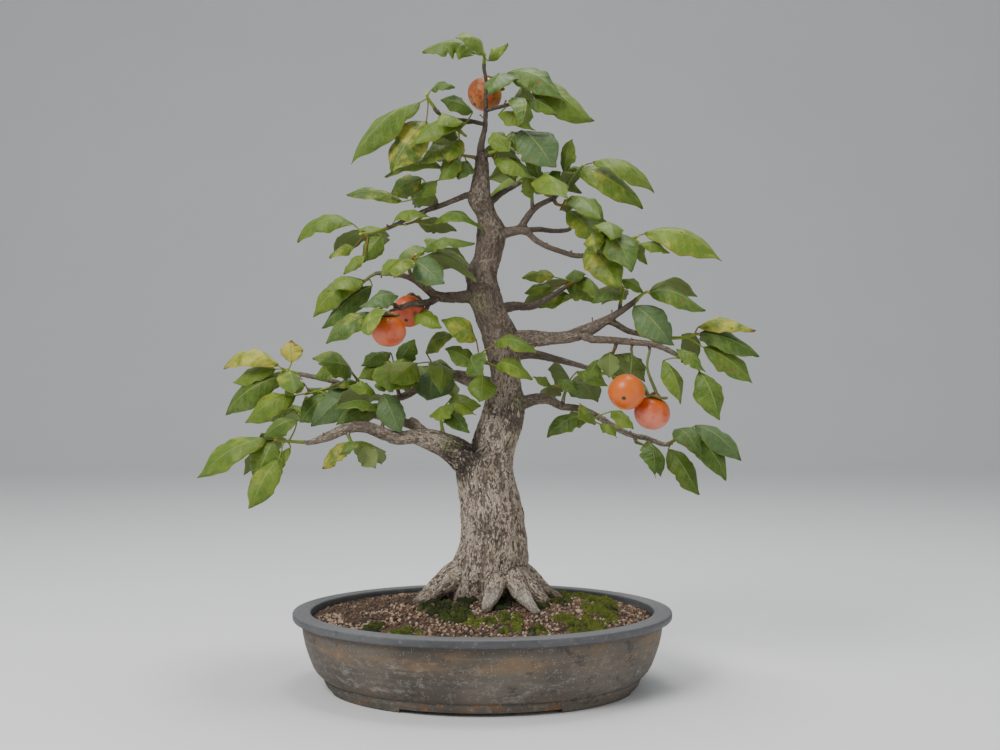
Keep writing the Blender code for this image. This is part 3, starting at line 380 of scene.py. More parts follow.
# %% Draw a pot up from rings
POT_RATIO = 0.78
POT_STEPS = 112
POT_RINGS = [
    (176, 14), (192, 22), (206, 45), (212, 80), (212.6, 90), (213.2, 93.2), (214.6, 94.4), (220, 94.5),
    (228, 94.5), (233, 94.3), (234.9, 93.6), (235.6, 92.2), (235.7, 89.5), (235.5, 86.8), (234.6, 85.2),
    (232.6, 84.4), (227, 84.0), (225.2, 83.4), (224.4, 82), (224, 77), (223.2, 71), (222.2, 65), (219.9, 55),
    (217, 46), (214.6, 39), (211, 30), (207.8, 24.6), (204, 20.3), (200.6, 17.5), (199.0, 16.4),
    (197.4, 15.8), (197.0, 14.9), (197.8, 14.0), (197.6, 12.2), (196.2, 9), (194.2, 5.5), (192.6, 2.4),
    (191.6, 0.6), (190.6, 0), (169, 0), (168, 0.8), (166, 5),
]


def throw(name, rings, steps):
    """A turned shape: a circle is drawn from ring to ring, and both ends are closed."""
    radius, height = rings[0]
    made = added(bpy.ops.mesh.primitive_circle_add, vertices=steps, radius=radius * MM)
    made.name = name
    edit(made)
    bpy.ops.transform.translate(value=(0, 0, height * MM))
    for next_radius, next_height in rings[1:]:
        rise, spread = (next_height - height) * MM, next_radius / radius
        bpy.ops.mesh.extrude_region_move(TRANSFORM_OT_translate={"value": (0, 0, rise)})
        bpy.ops.transform.resize(value=(spread, spread, 1), center_override=(0, 0, 0))
        radius, height = next_radius, next_height
    bpy.ops.mesh.edge_face_add()
    bpy.ops.mesh.select_all(action="DESELECT")
    bpy.ops.mesh.select_non_manifold()
    bpy.ops.mesh.edge_face_add()
    bpy.ops.mesh.select_all(action="SELECT")
    bpy.ops.mesh.normals_make_consistent(inside=False)
    edited()
    return made


def cut(target, tool):
    """Takes one object's shape out of another, and the tool with it."""
    modifier = target.modifiers.new("cut", "BOOLEAN")
    modifier.operation = "DIFFERENCE"
    modifier.solver = "EXACT"
    modifier.object = tool
    apply_modifiers(target)
    bpy.data.objects.remove(tool)


pot = throw("stoneware_pot", POT_RINGS, POT_STEPS)
print("pot rings:", len(POT_RINGS), "faces:", len(pot.data.polygons))

# %% Squeeze it oval, cut the feet and the drains
FOOT_GAP_FRONT = 186.0
FOOT_GAP_END = 110.0
FOOT_HEIGHT = 5.0
RIGHT_THROUGH = 600
DRAIN_X = 85.0
DRAIN_RADIUS = 11.0
DRAIN_CUT = 0.06
HAND_WOBBLE = 0.45
WOBBLE_SCALE = 9
WOBBLE_ABOVE = 0.016
CREASE_ANGLE = 38

squeeze(pot, POT_RATIO)
for wide, deep in ((FOOT_GAP_FRONT, RIGHT_THROUGH), (RIGHT_THROUGH, FOOT_GAP_END)):
    cut(pot, added(bpy.ops.mesh.primitive_cube_add, size=1,
                   scale=(wide * MM, deep * MM, 2 * FOOT_HEIGHT * MM)))
for x in (-DRAIN_X, DRAIN_X):
    cut(pot, added(bpy.ops.mesh.primitive_cylinder_add, vertices=24, radius=DRAIN_RADIUS * MM,
                   depth=DRAIN_CUT, location=(x * MM, 0, 0)))
for vertex in pot.data.vertices:
    swell = noise.noise(vertex.co * WOBBLE_SCALE) * HAND_WOBBLE * MM
    if vertex.co.z > WOBBLE_ABOVE:
        vertex.co += Vector((vertex.co.x, vertex.co.y, 0)).normalized() * swell
settle(pot)
bpy.ops.object.shade_smooth_by_angle(angle=math.radians(CREASE_ANGLE))
print("pot size (mm):", [round(v / MM, 1) for v in pot.dimensions])

# %% Bare stoneware, stained by years of watering, with painted shade under the lip and a painted highlight on its top
stone = Finish("stoneware")
spot = stone.place()
x, y, z = stone.split(spot)
broad = stone.clouds(spot, 9.0, 4.0)
fine = stone.clouds(spot, 160.0, 4.0, 0.65)
bands = stone.clouds(stone.joined(x * 2.0, y * 2.0, z * 60.0), 3.0, 3.0)
ochre = stone.clouds(stone.joined(x, y, z * 3.0), 17.0, 5.0, 0.66)
ochre_band = stone.step(abs(z - 0.068), 0.022, 0.006)
soot = stone.clouds(stone.joined(x, y, z * 1.7), 42.0, 6.0, 0.72)
lime = stone.clouds(stone.joined(x, y, z * 2.8), 30.0, 6.0, 0.78)
low_wall = stone.step(z, 0.075, 0.045) * stone.step(z, 0.01, 0.024)
rust = stone.clouds(stone.joined(x, y, z * 1.4), 38.0, 5.0, 0.72)
specks = stone.step(stone.cells(spot, 330.0), 0.28, 0.12) * stone.step(fine, 0.44, 0.56)
lip = stone.step(z, 0.0825, 0.085)
lip_clay = stone.layers(
    stone.mix(stone.step(broad, 0.3, 0.7), (0.054, 0.055, 0.058), (0.096, 0.097, 0.101)),
    (stone.step(soot, 0.52, 0.66) * 0.5, (0.034, 0.032, 0.032)),
    (stone.step(fine, 0.55, 0.72) * 0.45, (0.24, 0.24, 0.235)),
    # Painted highlight: the flat top of the lip is made lighter.
    (stone.step(z, 0.0925, 0.0943) * 0.5, (0.25, 0.25, 0.25)))
clay = stone.layers(
    stone.mix(stone.step(broad, 0.35, 0.68), (0.067, 0.056, 0.044), (0.128, 0.108, 0.086)),
    (stone.step(bands, 0.45, 0.75) * 0.4, (0.18, 0.152, 0.118)),
    (stone.step(ochre, 0.44, 0.64) * ochre_band * 0.65, (0.2, 0.118, 0.054)),
    (stone.step(soot, 0.54, 0.66) * 0.65, (0.032, 0.026, 0.022)),
    (stone.step(lime, 0.53, 0.68) * low_wall * 0.55, (0.33, 0.3, 0.27)),
    (stone.step(rust, 0.52, 0.66) * stone.step(z, 0.04, 0.014) * 0.7, (0.19, 0.086, 0.028)),
    (stone.step(rust, 0.46, 0.36) * stone.step(z, 0.03, 0.012) * 0.7, (0.04, 0.028, 0.02)),
    # Painted shadow: a dark band on the wall just under the lip, where the lip shades it.
    (stone.step(z, 0.074, 0.0825) * 0.45, (0.05, 0.042, 0.036)),
    (specks * 0.55, (0.4, 0.37, 0.33)),
    (stone.step(fine, 0.54, 0.66) * stone.step(z, 0.076, 0.06) * 0.3, (0.29, 0.257, 0.213)),
    (lip, lip_clay))
height = fine * 0.7 + stone.clouds(spot, 600.0) * 0.3 + bands * 0.5 + soot * 0.6
paint(pot, stone.finish(
    Base_Color=clay,
    Roughness=stone.step(fine, 0.2, 0.8) * 0.2 + 0.56 - lip * 0.14,
    Normal=stone.bump(height, 0.0009, 0.8)))
dress(pot, "pot", "pot")
print("pot finish nodes:", len(stone.tree.nodes))

# %% [markdown]
# ## Mesh over the drains
# Two squares of black plastic mesh keep the grit in. They lie under the soil, where only the holes show
# them from below, so their solids stay as they are and only get a finish.

# %% Black plastic
plastic = Finish("black_plastic")
worn = plastic.clouds(plastic.place(), 220.0)
plastic.finish(
    Base_Color=plastic.mix(worn, (0.012, 0.012, 0.013), (0.035, 0.034, 0.032)),
    Roughness=plastic.step(worn, 0.3, 0.7) * 0.2 + 0.4)
for side in ("left", "right"):
    paint(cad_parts[f"drain_screen_{side}"], plastic.material)
print("drain screens finished")

# %% [markdown]
# ## The wood
# Trunk, surface roots and branches grew as one piece. The trunk is drawn as a stack of rings, each with its
# left edge, right edge and depth, and every branch as a line of points with a thickness, all as seen from
# the front: `seen` moves a drawn point out along the sight line to its own depth. Joined tubes would show a
# crease at every fork, so the thick parts are melted together with a voxel remesh, which flows round the
# forks as wood does. Thin branches keep their own smooth tubes.

# %% From the drawing to the real place
def seen(x, z, depth):
    """The real place, in millimetres, of a drawn point that lies this deep."""
    grown = (depth - EYE.y) / -EYE.y
    return Vector((EYE.x + (x - EYE.x) * grown, depth, EYE.z + (z - EYE.z) * grown))


def smooth_path(rows, step):
    """Rows of numbers, filled in on a smooth curve so that the places in them lie about a step apart."""
    rows = np.array(rows, float)
    filled = []
    for k in range(len(rows) - 1):
        a, b, c, d = rows[max(k - 1, 0)], rows[k], rows[k + 1], rows[min(k + 2, len(rows) - 1)]
        count = max(1, round(float(np.linalg.norm((c - b)[:3])) / step))
        for i in range(count):
            t = i / count
            filled.append(0.5 * (2 * b + (c - a) * t + (2 * a - 5 * b + 4 * c - d) * t ** 2
                                 + (3 * b - a - 3 * c + d) * t ** 3))
    return np.array(filled + [rows[-1]])


print("drawn 300 mm up and 100 mm nearer:", [round(v) for v in seen(0, 300, -100)])

# %% Trunk rings: height, left edge, right edge and depth of the middle
TRUNK = [
    (90, -44, 56, 4), (112, -44, 55, 4), (130, -43, 55, 3), (145, -40, 55, 2), (161, -34, 55, 1),
    (178, -28, 54, 1), (210, -26, 51, 3), (241, -29, 43, 5), (262, -33, 38, 6), (280, -28, 38, 7),
    (298, -14, 41, 8), (318, -8, 48, 8), (346, 2, 52, 6), (380, 11, 47, 3), (407, 6, 46, 0),
    (424, 2, 46, -3), (439, -2, 43, -5), (454, -7, 35, -6), (469, -13, 27, -6), (484, -19, 23, -4),
    (499, -19, 19, -2), (514, -22, 17, 0), (529, -13, 22, 2), (545, -9, 26, 3), (560, -7, 28, 3),
    (575, -6, 26, 2), (587, -8, 18, 0), (600, -17, 13, -2), (614, -16, 9, -3), (640, -11, 8, -2),
    (660, -8, 6, 0),
]
FOOT_DEPTH_SHARE = 0.62
FOOT_TOP = 170.0
SOIL_MOUND = [(0, 111.0), (46, 111.0), (112, 104.0)]
WOOD_BOTTOM = 100.0
PLUG_RADIUS = 20.0
PLUG_BOTTOM = 70.0
PLUG_TOP = 118.0
print("trunk rings:", len(TRUNK))

# %% Branches: points as x, z, depth and radius
BRANCHES = {
    "root_left": [(8,152,-4,15), (-28,140,-8,17), (-52,123,-14,14), (-68,110,-20,11), (-84,98,-28,8)],
    "root_front": [(18,142,-12,13), (16,124,-36,12.5), (12,111,-54,10.5), (7,100,-67,8), (3,91,-77,6)],
    "root_front_right": [(34,142,-12,13), (43,122,-34,12), (52,108,-49,9.5), (61,97,-61,7), (70,87,-71,5)],
    "root_right_front": [(30,146,-4,14), (52,124,-14,14), (68,110,-22,11), (80,99,-28,8)],
    "root_right": [(24,152,6,14), (54,137,8,13), (78,119,12,8), (100,105,16,5)],
    "root_back_left": [(-6,148,12,12), (-32,130,32,13), (-46,112,48,10), (-58,97,58,7.5)],
    "root_back_right": [(24,148,14,12), (42,128,34,12), (50,112,50,9), (58,97,62,7)],
    "low_left": [(12,244,4,18), (-10,270,0,21), (-29,288,-4,18), (-47,298,-8,15), (-66,305,-12,13),
        (-86,309,-16,9), (-107,307,-20,8), (-127,314,-25,7.5), (-146,321,-30,7), (-167,320,-34,6.6),
        (-191,310,-38,5.8), (-214,302,-42,3.6)],
    "low_left_stub": [(-70,306,-12,6), (-80,322,-8,5.2), (-91,331,-5,4.6)],
    "low_left_back": [(-60,303,-6,8), (-84,322,20,6), (-116,331,45,5.2), (-147,339,62,4.6), (-176,337,78,4),
        (-196,332,92,3.4)],
    "behind_left": [(26,372,10,9), (0,378,26,7.5), (-34,386,46,6.4), (-66,378,62,5.4), (-103,358,76,4.8),
        (-141,360,88,4.2), (-183,377,96,3.6), (-222,386,100,3)],
    "mid_left": [(6,486,-4,9), (-18,484,-10,8), (-42,483,-18,6.6), (-58,485,-26,6), (-72,496,-32,5),
        (-84,505,-38,4.4)],
    "mid_left_far": [(-72,496,-32,4), (-90,507,-30,3.6), (-108,512,-24,3.2), (-126,513,-16,2.8)],
    "mid_left_low": [(-54,485,-24,5), (-66,477,-34,4.4), (-88,475,-54,3.8), (-104,470,-66,3.2)],
    "high_left": [(0,612,-2,5), (-18,611,0,4), (-36,604,6,3.6), (-57,596,10,3.4), (-72,591,12,3),
        (-92,582,14,2.8), (-112,572,16,2.6)],
    "low_right": [(32,342,4,11), (50,351,10,8.6), (68,356,16,7), (84,355,22,6), (99,347,27,4.8),
        (121,344,31,4.4), (139,337,35,4.1), (157,326,38,3.9), (176,315,40,3.7), (190,310,42,3.5),
        (205,307,44,3.3), (227,299,46,2.9)],
    "mid_right": [(30,426,-6,13), (58,431,-10,11), (87,432,-15,8), (108,434,-19,7.6), (129,441,-23,8),
        (145,449,-27,6.6), (159,457,-31,4.8), (172,465,-34,4), (189,477,-38,3.4)],
    "mid_right_front": [(122,438,-23,6), (136,431,-34,5), (151,430,-44,4.6), (168,429,-53,4.3),
        (188,427,-61,4), (208,425,-67,3.7), (223,421,-71,3.3), (236,415,-74,3)],
    "mid_right_end": [(155,455,-30,4.6), (168,449,-28,4), (182,441,-26,3.6), (204,436,-24,3.3),
        (228,433,-22,3)],
    "high_right": [(10,562,2,9), (22,563,0,7.5), (34,565,-2,6.2), (47,567,-3,5.4), (58,564,-6,4.6)],
    "high_right_up": [(46,567,-3,5), (54,580,2,4.4), (63,592,6,4), (74,600,8,3.6), (88,607,8,3.3),
        (102,620,6,3)],
    "high_right_fork": [(56,565,-5,4.2), (66,555,-12,3.8), (80,547,-18,3.5), (99,540,-22,3.3),
        (118,535,-25,3.2), (138,537,-28,3), (156,545,-31,2.8)],
    "high_right_side": [(54,566,-4,4), (70,568,14,3.4), (88,566,34,3), (106,567,52,2.7)],
    "behind_right": [(18,466,6,8), (38,472,28,6), (62,472,50,4.8), (82,482,72,4), (98,492,90,3.2)],
    "leader": [(-1,652,0,6), (-2,671,0,4.6), (3,695,0,3.2), (4,719,0,2.7), (4,734,0,2.5), (5,750,0,2.3),
        (2,768,0,2.2)],
    "top_left": [(3,699,0,2.8), (-14,703,-6,2.8), (-39,706,-14,2.6), (-56,714,-20,2.5)],
    "top_right": [(4,716,0,2.5), (14,719,-6,2.4), (26,722,-12,2.3)],
    "back_low": [(22,352,10,8), (10,362,60,6), (-10,372,104,4.6), (-30,380,140,3.4)],
    "back_mid": [(10,500,6,7), (-6,510,48,5), (-22,520,88,3.8), (-36,528,118,3)],
    "back_right": [(30,410,10,8), (62,412,62,6), (98,404,108,4.6), (128,396,140,3.4)],
    "back_high": [(8,600,2,5), (22,612,34,4), (40,622,66,3)],
}
print("branches:", len(BRANCHES))

# %% Sprays: the branch, its point, the twig's own points, and the leaves on the twig
# Each leaf is a row: its place on the twig, how far the stalk and then the blade go (x, y, z each), and the
# blade's turn, bow, width, fold and twist.
SPRAYS = {
    "top": ("leader", 6, [(2,774,0), (2,781,-1), (3,787,-2)], [(1,-11,1,2,-66,-11,-1,42,16,44,-22,8),
        (0,5,0,-4,25,-8,19,25,5,19,-23,13), (0,-3,-7,3,-30,-65,1,41,14,41,-24,-4)]),
    "top_right": ("leader", 5, [(13,754,-5), (28,757,-9), (50,750,-12)],
        [(0,2,0,7,71,-10,-37,36,16,49,-12,23), (6,12,7,-1,77,6,-47,28,13,51,-22,6),
        (3,-3,-7,-1,-26,-63,-31,41,14,42,-12,-6)]),
    "right_of_leader": ("top_right", 2, [(33,724,-16), (40,728,-19), (46,731,-21)],
        [(1,3,1,-3,45,-14,-19,42,10,29,-27,-22), (0,-21,4,-16,43,-24,-26,35,13,32,-27,9),
        (0,3,9,3,23,66,10,140,14,40,-12,-7), (0,1,-10,-1,4,-50,-46,39,16,41,-25,20)]),
    "trunk_top_right": ("leader", 0, [(8,663,-6), (20,668,-12), (32,682,-16)],
        [(5,18,-1,10,39,-23,-51,14,11,53,-10,-22), (0,-6,5,-13,46,-26,-30,35,13,35,-20,17),
        (3,10,3,14,19,-4,-38,37,9,30,-10,4), (3,-15,-3,11,21,-22,-27,18,4,28,-10,-3),
        (1,2,7,2,16,66,-35,141,13,38,-25,-17), (5,6,6,3,48,45,-17,131,9,36,-16,19),
        (3,-1,9,0,-9,70,-9,141,12,44,-25,19)]),
    "top_left": ("top_left", 3, [(-60,720,-22), (-67,730,-24), (-70,736,-24)],
        [(0,-10,-1,-5,-85,-16,-76,34,16,45,-27,12), (1,-1,0,-31,-44,-14,-64,10,10,48,-10,-14),
        (1,5,-1,7,30,-12,2,40,6,19,-15,-2)]),
    "top_left_inner": ("top_left", 1, [(-22,701,-12), (-28,694,-16), (-30,688,-18)],
        [(1,10,-5,-6,-70,-26,-19,50,23,36,-13,9), (0,16,3,22,-39,-17,13,28,7,26,-19,21),
        (1,0,-2,-10,-13,-24,-32,20,6,29,-13,22), (1,-2,-6,4,-20,-54,-10,40,14,30,-8,20),
        (1,-5,8,4,-30,51,-6,137,13,32,-24,18)]),
    "trunk_top_left": ("leader", 0, [(-10,658,-6), (-22,660,-10), (-30,662,-12)],
        [(2,-5,1,6,-45,-13,-20,34,11,29,-10,-21), (0,3,2,-7,-9,-12,-25,14,4,30,-14,-19),
        (2,-21,1,-18,-72,6,-12,50,19,31,-12,0), (1,-2,-2,-6,-26,-9,-29,21,6,27,-9,-13),
        (0,-6,7,3,-46,53,7,133,18,40,-22,-14)]),
    "high_left_inner": ("high_left", 3, [(-58,604,4), (-62,612,0), (-70,616,-4)],
        [(2,-8,-3,-8,21,-3,22,23,3,21,-22,-6), (0,-38,-4,-11,-68,-5,8,46,11,27,-16,8),
        (2,-8,9,18,-42,21,-19,21,7,35,-25,22), (2,2,2,7,-23,30,-20,35,6,32,-14,-4),
        (0,-3,9,3,-22,62,-11,140,10,36,-18,22)]),
    "high_left_low": ("high_left", 4, [(-76,584,6), (-84,578,0), (-96,574,-6)],
        [(3,-18,1,-1,51,-19,6,58,16,27,-21,10), (0,23,4,-4,66,-18,-8,52,20,28,-12,22),
        (1,8,6,3,47,36,-9,127,8,32,-25,3)]),
    "high_left_end": ("high_left", 6, [(-120,569,16), (-136,564,14), (-152,562,12)],
        [(4,-11,-1,12,-69,-12,-22,44,19,34,-9,24), (0,12,-1,-4,-24,-1,-33,13,5,29,-18,5),
        (3,-13,-1,-17,-30,-12,-15,36,7,21,-23,-11), (2,-3,-9,-29,-23,-10,-25,38,5,20,-16,20),
        (1,-7,5,1,-45,34,-22,127,9,34,-10,20), (4,2,9,3,12,77,-16,141,18,45,-12,16)]),
    "mid_left_up": ("mid_left", 5, [(-90,512,-42), (-92,524,-46), (-84,536,-46)],
        [(0,-7,0,6,-26,-20,-23,24,6,23,-22,18), (2,3,0,-3,35,-25,-31,12,7,37,-8,13),
        (3,11,2,6,62,-15,7,52,14,27,-26,10), (1,7,7,1,46,47,-6,132,12,38,-19,-17),
        (2,-3,-8,-2,-16,-54,-25,40,7,31,-21,20), (2,10,2,1,67,13,-28,104,18,41,-24,0)]),
    "mid_left_far": ("mid_left_far", 3, [(-133,513,-12), (-142,508,-10), (-148,502,-8)],
        [(2,-4,-1,1,-58,-15,-46,34,15,35,-15,23), (0,5,1,-10,-61,-12,-53,26,11,36,-28,-25),
        (2,-5,-7,1,-33,-47,-17,44,7,37,-10,-12), (1,-6,5,0,-58,46,-26,128,13,40,-15,7)]),
    "mid_left_low": ("mid_left_low", 3, [(-111,475,-70), (-120,474,-72), (-128,468,-72)],
        [(2,-6,0,-7,-59,-15,-33,30,11,32,-11,-9), (0,15,1,11,-44,-10,-15,46,9,34,-14,-22),
        (2,-1,-10,-1,-8,-59,-34,39,10,38,-17,-23)]),
    "mid_left_inner": ("mid_left_low", 1, [(-70,468,-40), (-76,462,-44), (-80,456,-44)],
        [(1,-6,-5,2,34,-25,-16,36,9,26,-17,-11)]),
    "behind_left_end": ("behind_left", 7, [(-230,388,100), (-242,391,98), (-250,394,96)],
        [(2,-7,-1,4,-74,10,0,52,21,38,-13,25), (0,-16,0,2,-60,9,-20,40,9,30,-18,1),
        (2,-8,1,-11,-72,7,-49,27,14,45,-25,1), (0,5,2,11,-2,2,30,12,2,31,-10,-21),
        (0,-5,5,-1,-35,37,-36,132,11,34,-18,21), (0,2,-7,-1,16,-56,-28,40,8,38,-22,-23)]),
    "behind_left_low": ("behind_left", 6, [(-190,370,92), (-204,366,86), (-222,362,80)],
        [(5,-13,0,-2,-67,-3,-37,32,14,41,-20,3), (0,11,-4,-6,-35,4,-36,21,7,35,-9,-16),
        (4,-5,-1,12,-25,-9,-15,31,6,21,-8,17), (2,1,8,2,6,69,-16,141,10,39,-20,-12)]),
    "behind_left_up": ("behind_left", 5, [(-146,370,82), (-156,380,78), (-164,390,74)],
        [(3,-11,1,12,-39,-12,5,44,11,27,-13,19), (0,6,8,-10,-63,-24,-53,19,14,44,-13,21),
        (1,1,3,-8,-33,-12,-8,50,7,21,-21,-9), (2,-11,-2,6,-40,-17,-10,36,8,26,-22,-3),
        (1,-4,-7,5,-34,-60,14,43,12,40,-13,-5)]),
    "behind_left_mid": ("behind_left", 4, [(-106,368,66), (-110,380,56), (-112,388,48)],
        [(3,8,0,11,22,-24,33,18,6,32,-22,18), (1,-3,-6,31,-36,-19,-17,40,9,29,-24,14),
        (3,-6,-2,11,-37,-21,-18,34,7,27,-12,4), (3,16,-17,20,-15,-72,-40,7,10,64,-24,6),
        (3,-2,7,2,-15,67,3,141,10,42,-11,18), (2,-1,-8,0,-7,-53,-20,39,9,32,-15,5)]),
    "behind_left_inner": ("behind_left", 3, [(-66,386,50), (-64,396,34), (-60,402,20)],
        [(0,5,7,-1,-6,-39,-42,12,6,56,-10,25), (4,-21,-10,-1,-28,-51,-24,14,10,45,-27,13),
        (2,-8,-6,15,38,-23,22,42,11,28,-13,-13), (4,1,-7,-1,9,-44,-36,39,14,35,-13,-15),
        (4,2,7,-1,11,53,-16,141,12,35,-26,-15), (0,-7,-1,0,-44,-5,-32,81,11,29,-22,-4)]),
    "low_left_end": ("low_left", 11, [(-222,302,-44), (-240,303,-46), (-258,305,-47)],
        [(0,10,0,26,-41,-4,-22,30,9,27,-27,25), (4,-13,1,1,-82,-9,-48,34,17,37,-12,11),
        (3,-8,-2,-2,-21,-2,-49,8,6,41,-12,17), (1,5,3,-8,-21,-2,-33,28,8,20,-26,2),
        (2,-3,-13,-22,-29,-24,-58,18,10,37,-18,20), (4,-5,6,-1,-34,38,-32,133,12,35,-9,9),
        (1,-8,5,-1,-49,32,-43,124,12,41,-13,-2), (3,-4,7,0,-29,55,-20,138,16,34,-13,-14)]),
    "low_left_under": ("low_left", 9, [(-168,311,-38), (-164,303,-42), (-158,297,-46)],
        [(0,-5,1,-2,-29,-8,-31,28,7,25,-18,-15), (2,7,1,-2,19,-5,-25,165,4,29,-12,3),
        (2,9,-2,4,-26,-12,-15,50,6,19,-9,-3), (1,3,9,2,22,66,-32,140,9,47,-10,-7)]),
    "low_left_top": ("low_left", 7, [(-124,326,-22), (-120,340,-16), (-122,352,-12)],
        [(3,-2,-1,11,22,-13,-48,12,8,35,-13,5), (1,-21,4,-1,-40,-13,-19,34,7,24,-12,22),
        (3,-12,0,11,-32,-19,10,46,9,22,-12,-13), (3,-7,6,-1,-32,28,-36,129,13,34,-13,9),
        (3,-6,4,3,-61,40,-4,124,16,39,-9,8), (0,-9,-3,2,-53,-16,2,70,11,30,-24,-12)]),
    "low_left_back": ("low_left_back", 5, [(-203,332,98), (-216,334,106), (-228,337,112)],
        [(4,-10,0,8,-40,18,-16,34,9,27,-19,10), (0,15,-8,6,14,21,17,30,3,18,-12,-21),
        (2,-3,6,0,-26,63,-12,139,16,42,-10,16), (4,-4,6,1,-40,57,-13,136,10,36,-20,-3),
        (0,-3,10,2,-16,69,5,141,17,43,-18,-12)]),
    "low_left_shoot": ("low_left", 3, [(-50,318,-14), (-52,330,-16), (-52,340,-16)],
        [(2,2,2,3,41,-6,-5,44,15,27,-23,21), (1,9,10,17,40,1,-6,33,6,28,-10,20),
        (0,5,-8,1,30,-47,-16,44,14,29,-26,-6), (1,2,-10,3,11,-64,-4,39,12,33,-9,12)]),
    "trunk_front": ("trunk", (22,400,-8), [(0,402,-26), (-4,406,-32), (-5,412,-36)],
        [(1,19,-2,13,52,-26,-9,42,14,27,-14,19), (0,20,7,-10,45,-20,-16,32,15,28,-9,21),
        (0,5,7,-21,-3,-20,-33,4,4,36,-13,-19), (1,-3,-1,19,-42,-23,23,30,10,33,-15,12),
        (0,-6,5,-9,-35,-6,21,29,6,27,-13,19), (0,0,-7,1,2,-57,-25,39,14,37,-20,11)]),
    "high_up_end": ("high_right_up", 5, [(107,627,5), (114,636,2), (126,648,-2)],
        [(4,13,-2,4,75,-11,-39,48,19,41,-14,-7), (2,-2,3,2,84,-1,-47,24,15,40,-17,7),
        (0,-13,-1,3,9,0,41,26,4,24,-26,-25), (3,-1,7,0,-12,53,-19,141,14,30,-15,-19)]),
    "high_up_low": ("high_right_up", 4, [(92,600,2), (98,598,-4), (104,600,-10)],
        [(2,9,1,10,41,-11,-36,24,10,32,-21,-2), (0,5,-4,-8,38,-18,-41,22,9,33,-24,23),
        (2,16,13,4,-21,24,-6,30,5,21,-15,24), (2,5,-9,1,33,-56,-28,43,12,43,-13,8)]),
    "high_up_inner": ("high_right_up", 2, [(62,602,2), (62,614,-2), (64,628,-6)],
        [(0,-2,-4,-10,-6,-17,27,8,3,19,-16,-13), (1,5,3,-5,8,1,26,25,3,16,-25,-11),
        (3,6,1,6,-12,-4,35,24,4,26,-18,10), (2,13,-3,-1,21,-11,16,20,3,20,-13,-10),
        (3,0,10,3,-1,66,-3,141,10,34,-21,15), (2,4,-7,3,32,-66,-30,42,17,48,-26,-6)]),
    "high_side": ("high_right_side", 3, [(111,571,58), (120,574,64), (130,576,68)],
        [(3,8,0,-6,28,16,-21,34,8,23,-22,-19), (1,-1,-8,2,-6,-61,-5,39,11,36,-13,20),
        (2,4,5,3,35,40,-12,133,11,32,-17,-8)]),
    "fork_end": ("high_right_fork", 6, [(163,549,-33), (178,554,-36), (194,559,-38)],
        [(4,10,2,4,93,-6,-32,44,20,53,-20,1), (0,-14,-3,7,26,-30,-30,38,8,36,-17,22),
        (3,8,-1,-7,35,-5,-13,40,7,21,-26,-8), (1,-6,1,1,-27,-9,-22,36,7,20,-25,-15),
        (2,2,5,-4,18,0,-27,16,5,19,-23,24), (2,-4,7,-1,-28,51,-18,137,12,37,-11,-14)]),
    "fork_mid": ("high_right_fork", 5, [(142,544,-34), (144,556,-38), (146,564,-40)],
        [(2,6,-13,1,29,-54,-53,15,13,43,-13,-5), (0,-13,0,-12,36,-40,-54,15,11,42,-11,-25),
        (0,-1,-8,0,-8,-51,-25,39,14,30,-24,-1), (2,2,-10,2,9,-60,-17,39,15,37,-15,-12)]),
    "behind_right": ("behind_right", 4, [(104,496,96), (112,500,100), (120,504,104)],
        [(0,-26,-5,8,-42,6,-1,34,8,24,-19,-4), (1,-32,-8,-7,-36,6,-8,30,7,22,-23,-9),
        (2,-6,-7,-21,-57,12,-14,40,9,27,-18,11), (0,-3,3,0,31,-4,-26,27,8,24,-16,-3),
        (0,-11,-2,-3,24,33,-13,35,6,30,-9,6), (1,-8,3,3,-59,25,-33,116,14,40,-20,-20),
        (1,4,-9,2,19,-48,-32,41,15,33,-24,3), (2,-1,-8,4,-7,-55,-11,39,13,31,-24,4)]),
    "mid_right_top": ("mid_right", 7, [(172,474,-32), (174,484,-30), (176,494,-28)],
        [(0,-1,-3,-4,-37,-3,-6,48,11,22,-10,-21), (2,-2,-1,13,27,-3,-17,32,5,19,-19,-13),
        (1,-2,8,3,-15,64,-13,141,13,40,-11,0)]),
    "mid_right_tip": ("mid_right", 8, [(194,482,-41), (200,487,-44), (206,490,-46)],
        [(1,3,-1,-1,65,-16,-24,40,15,34,-21,19), (0,-11,0,-15,44,-15,-50,15,11,44,-11,10),
        (0,7,4,2,65,43,-3,124,18,39,-18,15)]),
    "mid_right_far": ("mid_right_end", 4, [(235,432,-22), (252,433,-24), (267,437,-26)],
        [(4,4,0,9,68,-13,-6,48,15,32,-24,24), (2,11,0,3,72,-9,-27,28,11,34,-16,23),
        (0,22,-3,-13,60,-3,-43,26,10,33,-16,-9), (4,-1,10,1,-4,58,-35,141,13,34,-17,-6),
        (4,7,3,-1,46,22,-27,118,9,35,-13,7)]),
    "front_right_end": ("mid_right_front", 7, [(243,411,-76), (254,405,-78), (264,398,-80)],
        [(0,-12,1,13,33,-6,-27,36,9,25,-25,14), (3,8,0,-8,22,-8,-58,12,10,39,-23,4),
        (0,-27,4,0,21,-9,-51,24,9,29,-26,9)]),
    "front_right_inner": ("mid_right_front", 3, [(166,421,-46), (163,413,-40), (162,406,-34)],
        [(0,-5,-6,2,-1,-9,-31,162,3,30,-25,24), (2,13,-4,5,26,2,-22,40,7,19,-27,6),
        (2,-16,0,-3,-15,1,-27,26,5,22,-20,-1), (1,7,7,2,35,35,-33,131,10,36,-11,25)]),
    "low_right_inner": ("low_right", 5, [(126,336,26), (132,330,22), (138,328,18)],
        [(0,-2,1,4,-54,-19,-23,38,13,31,-11,8), (1,11,-3,-4,19,-17,-16,34,6,17,-14,9),
        (1,24,-1,12,26,-23,-21,34,7,24,-20,8), (0,-2,-7,5,-16,-54,2,40,10,34,-10,-10)]),
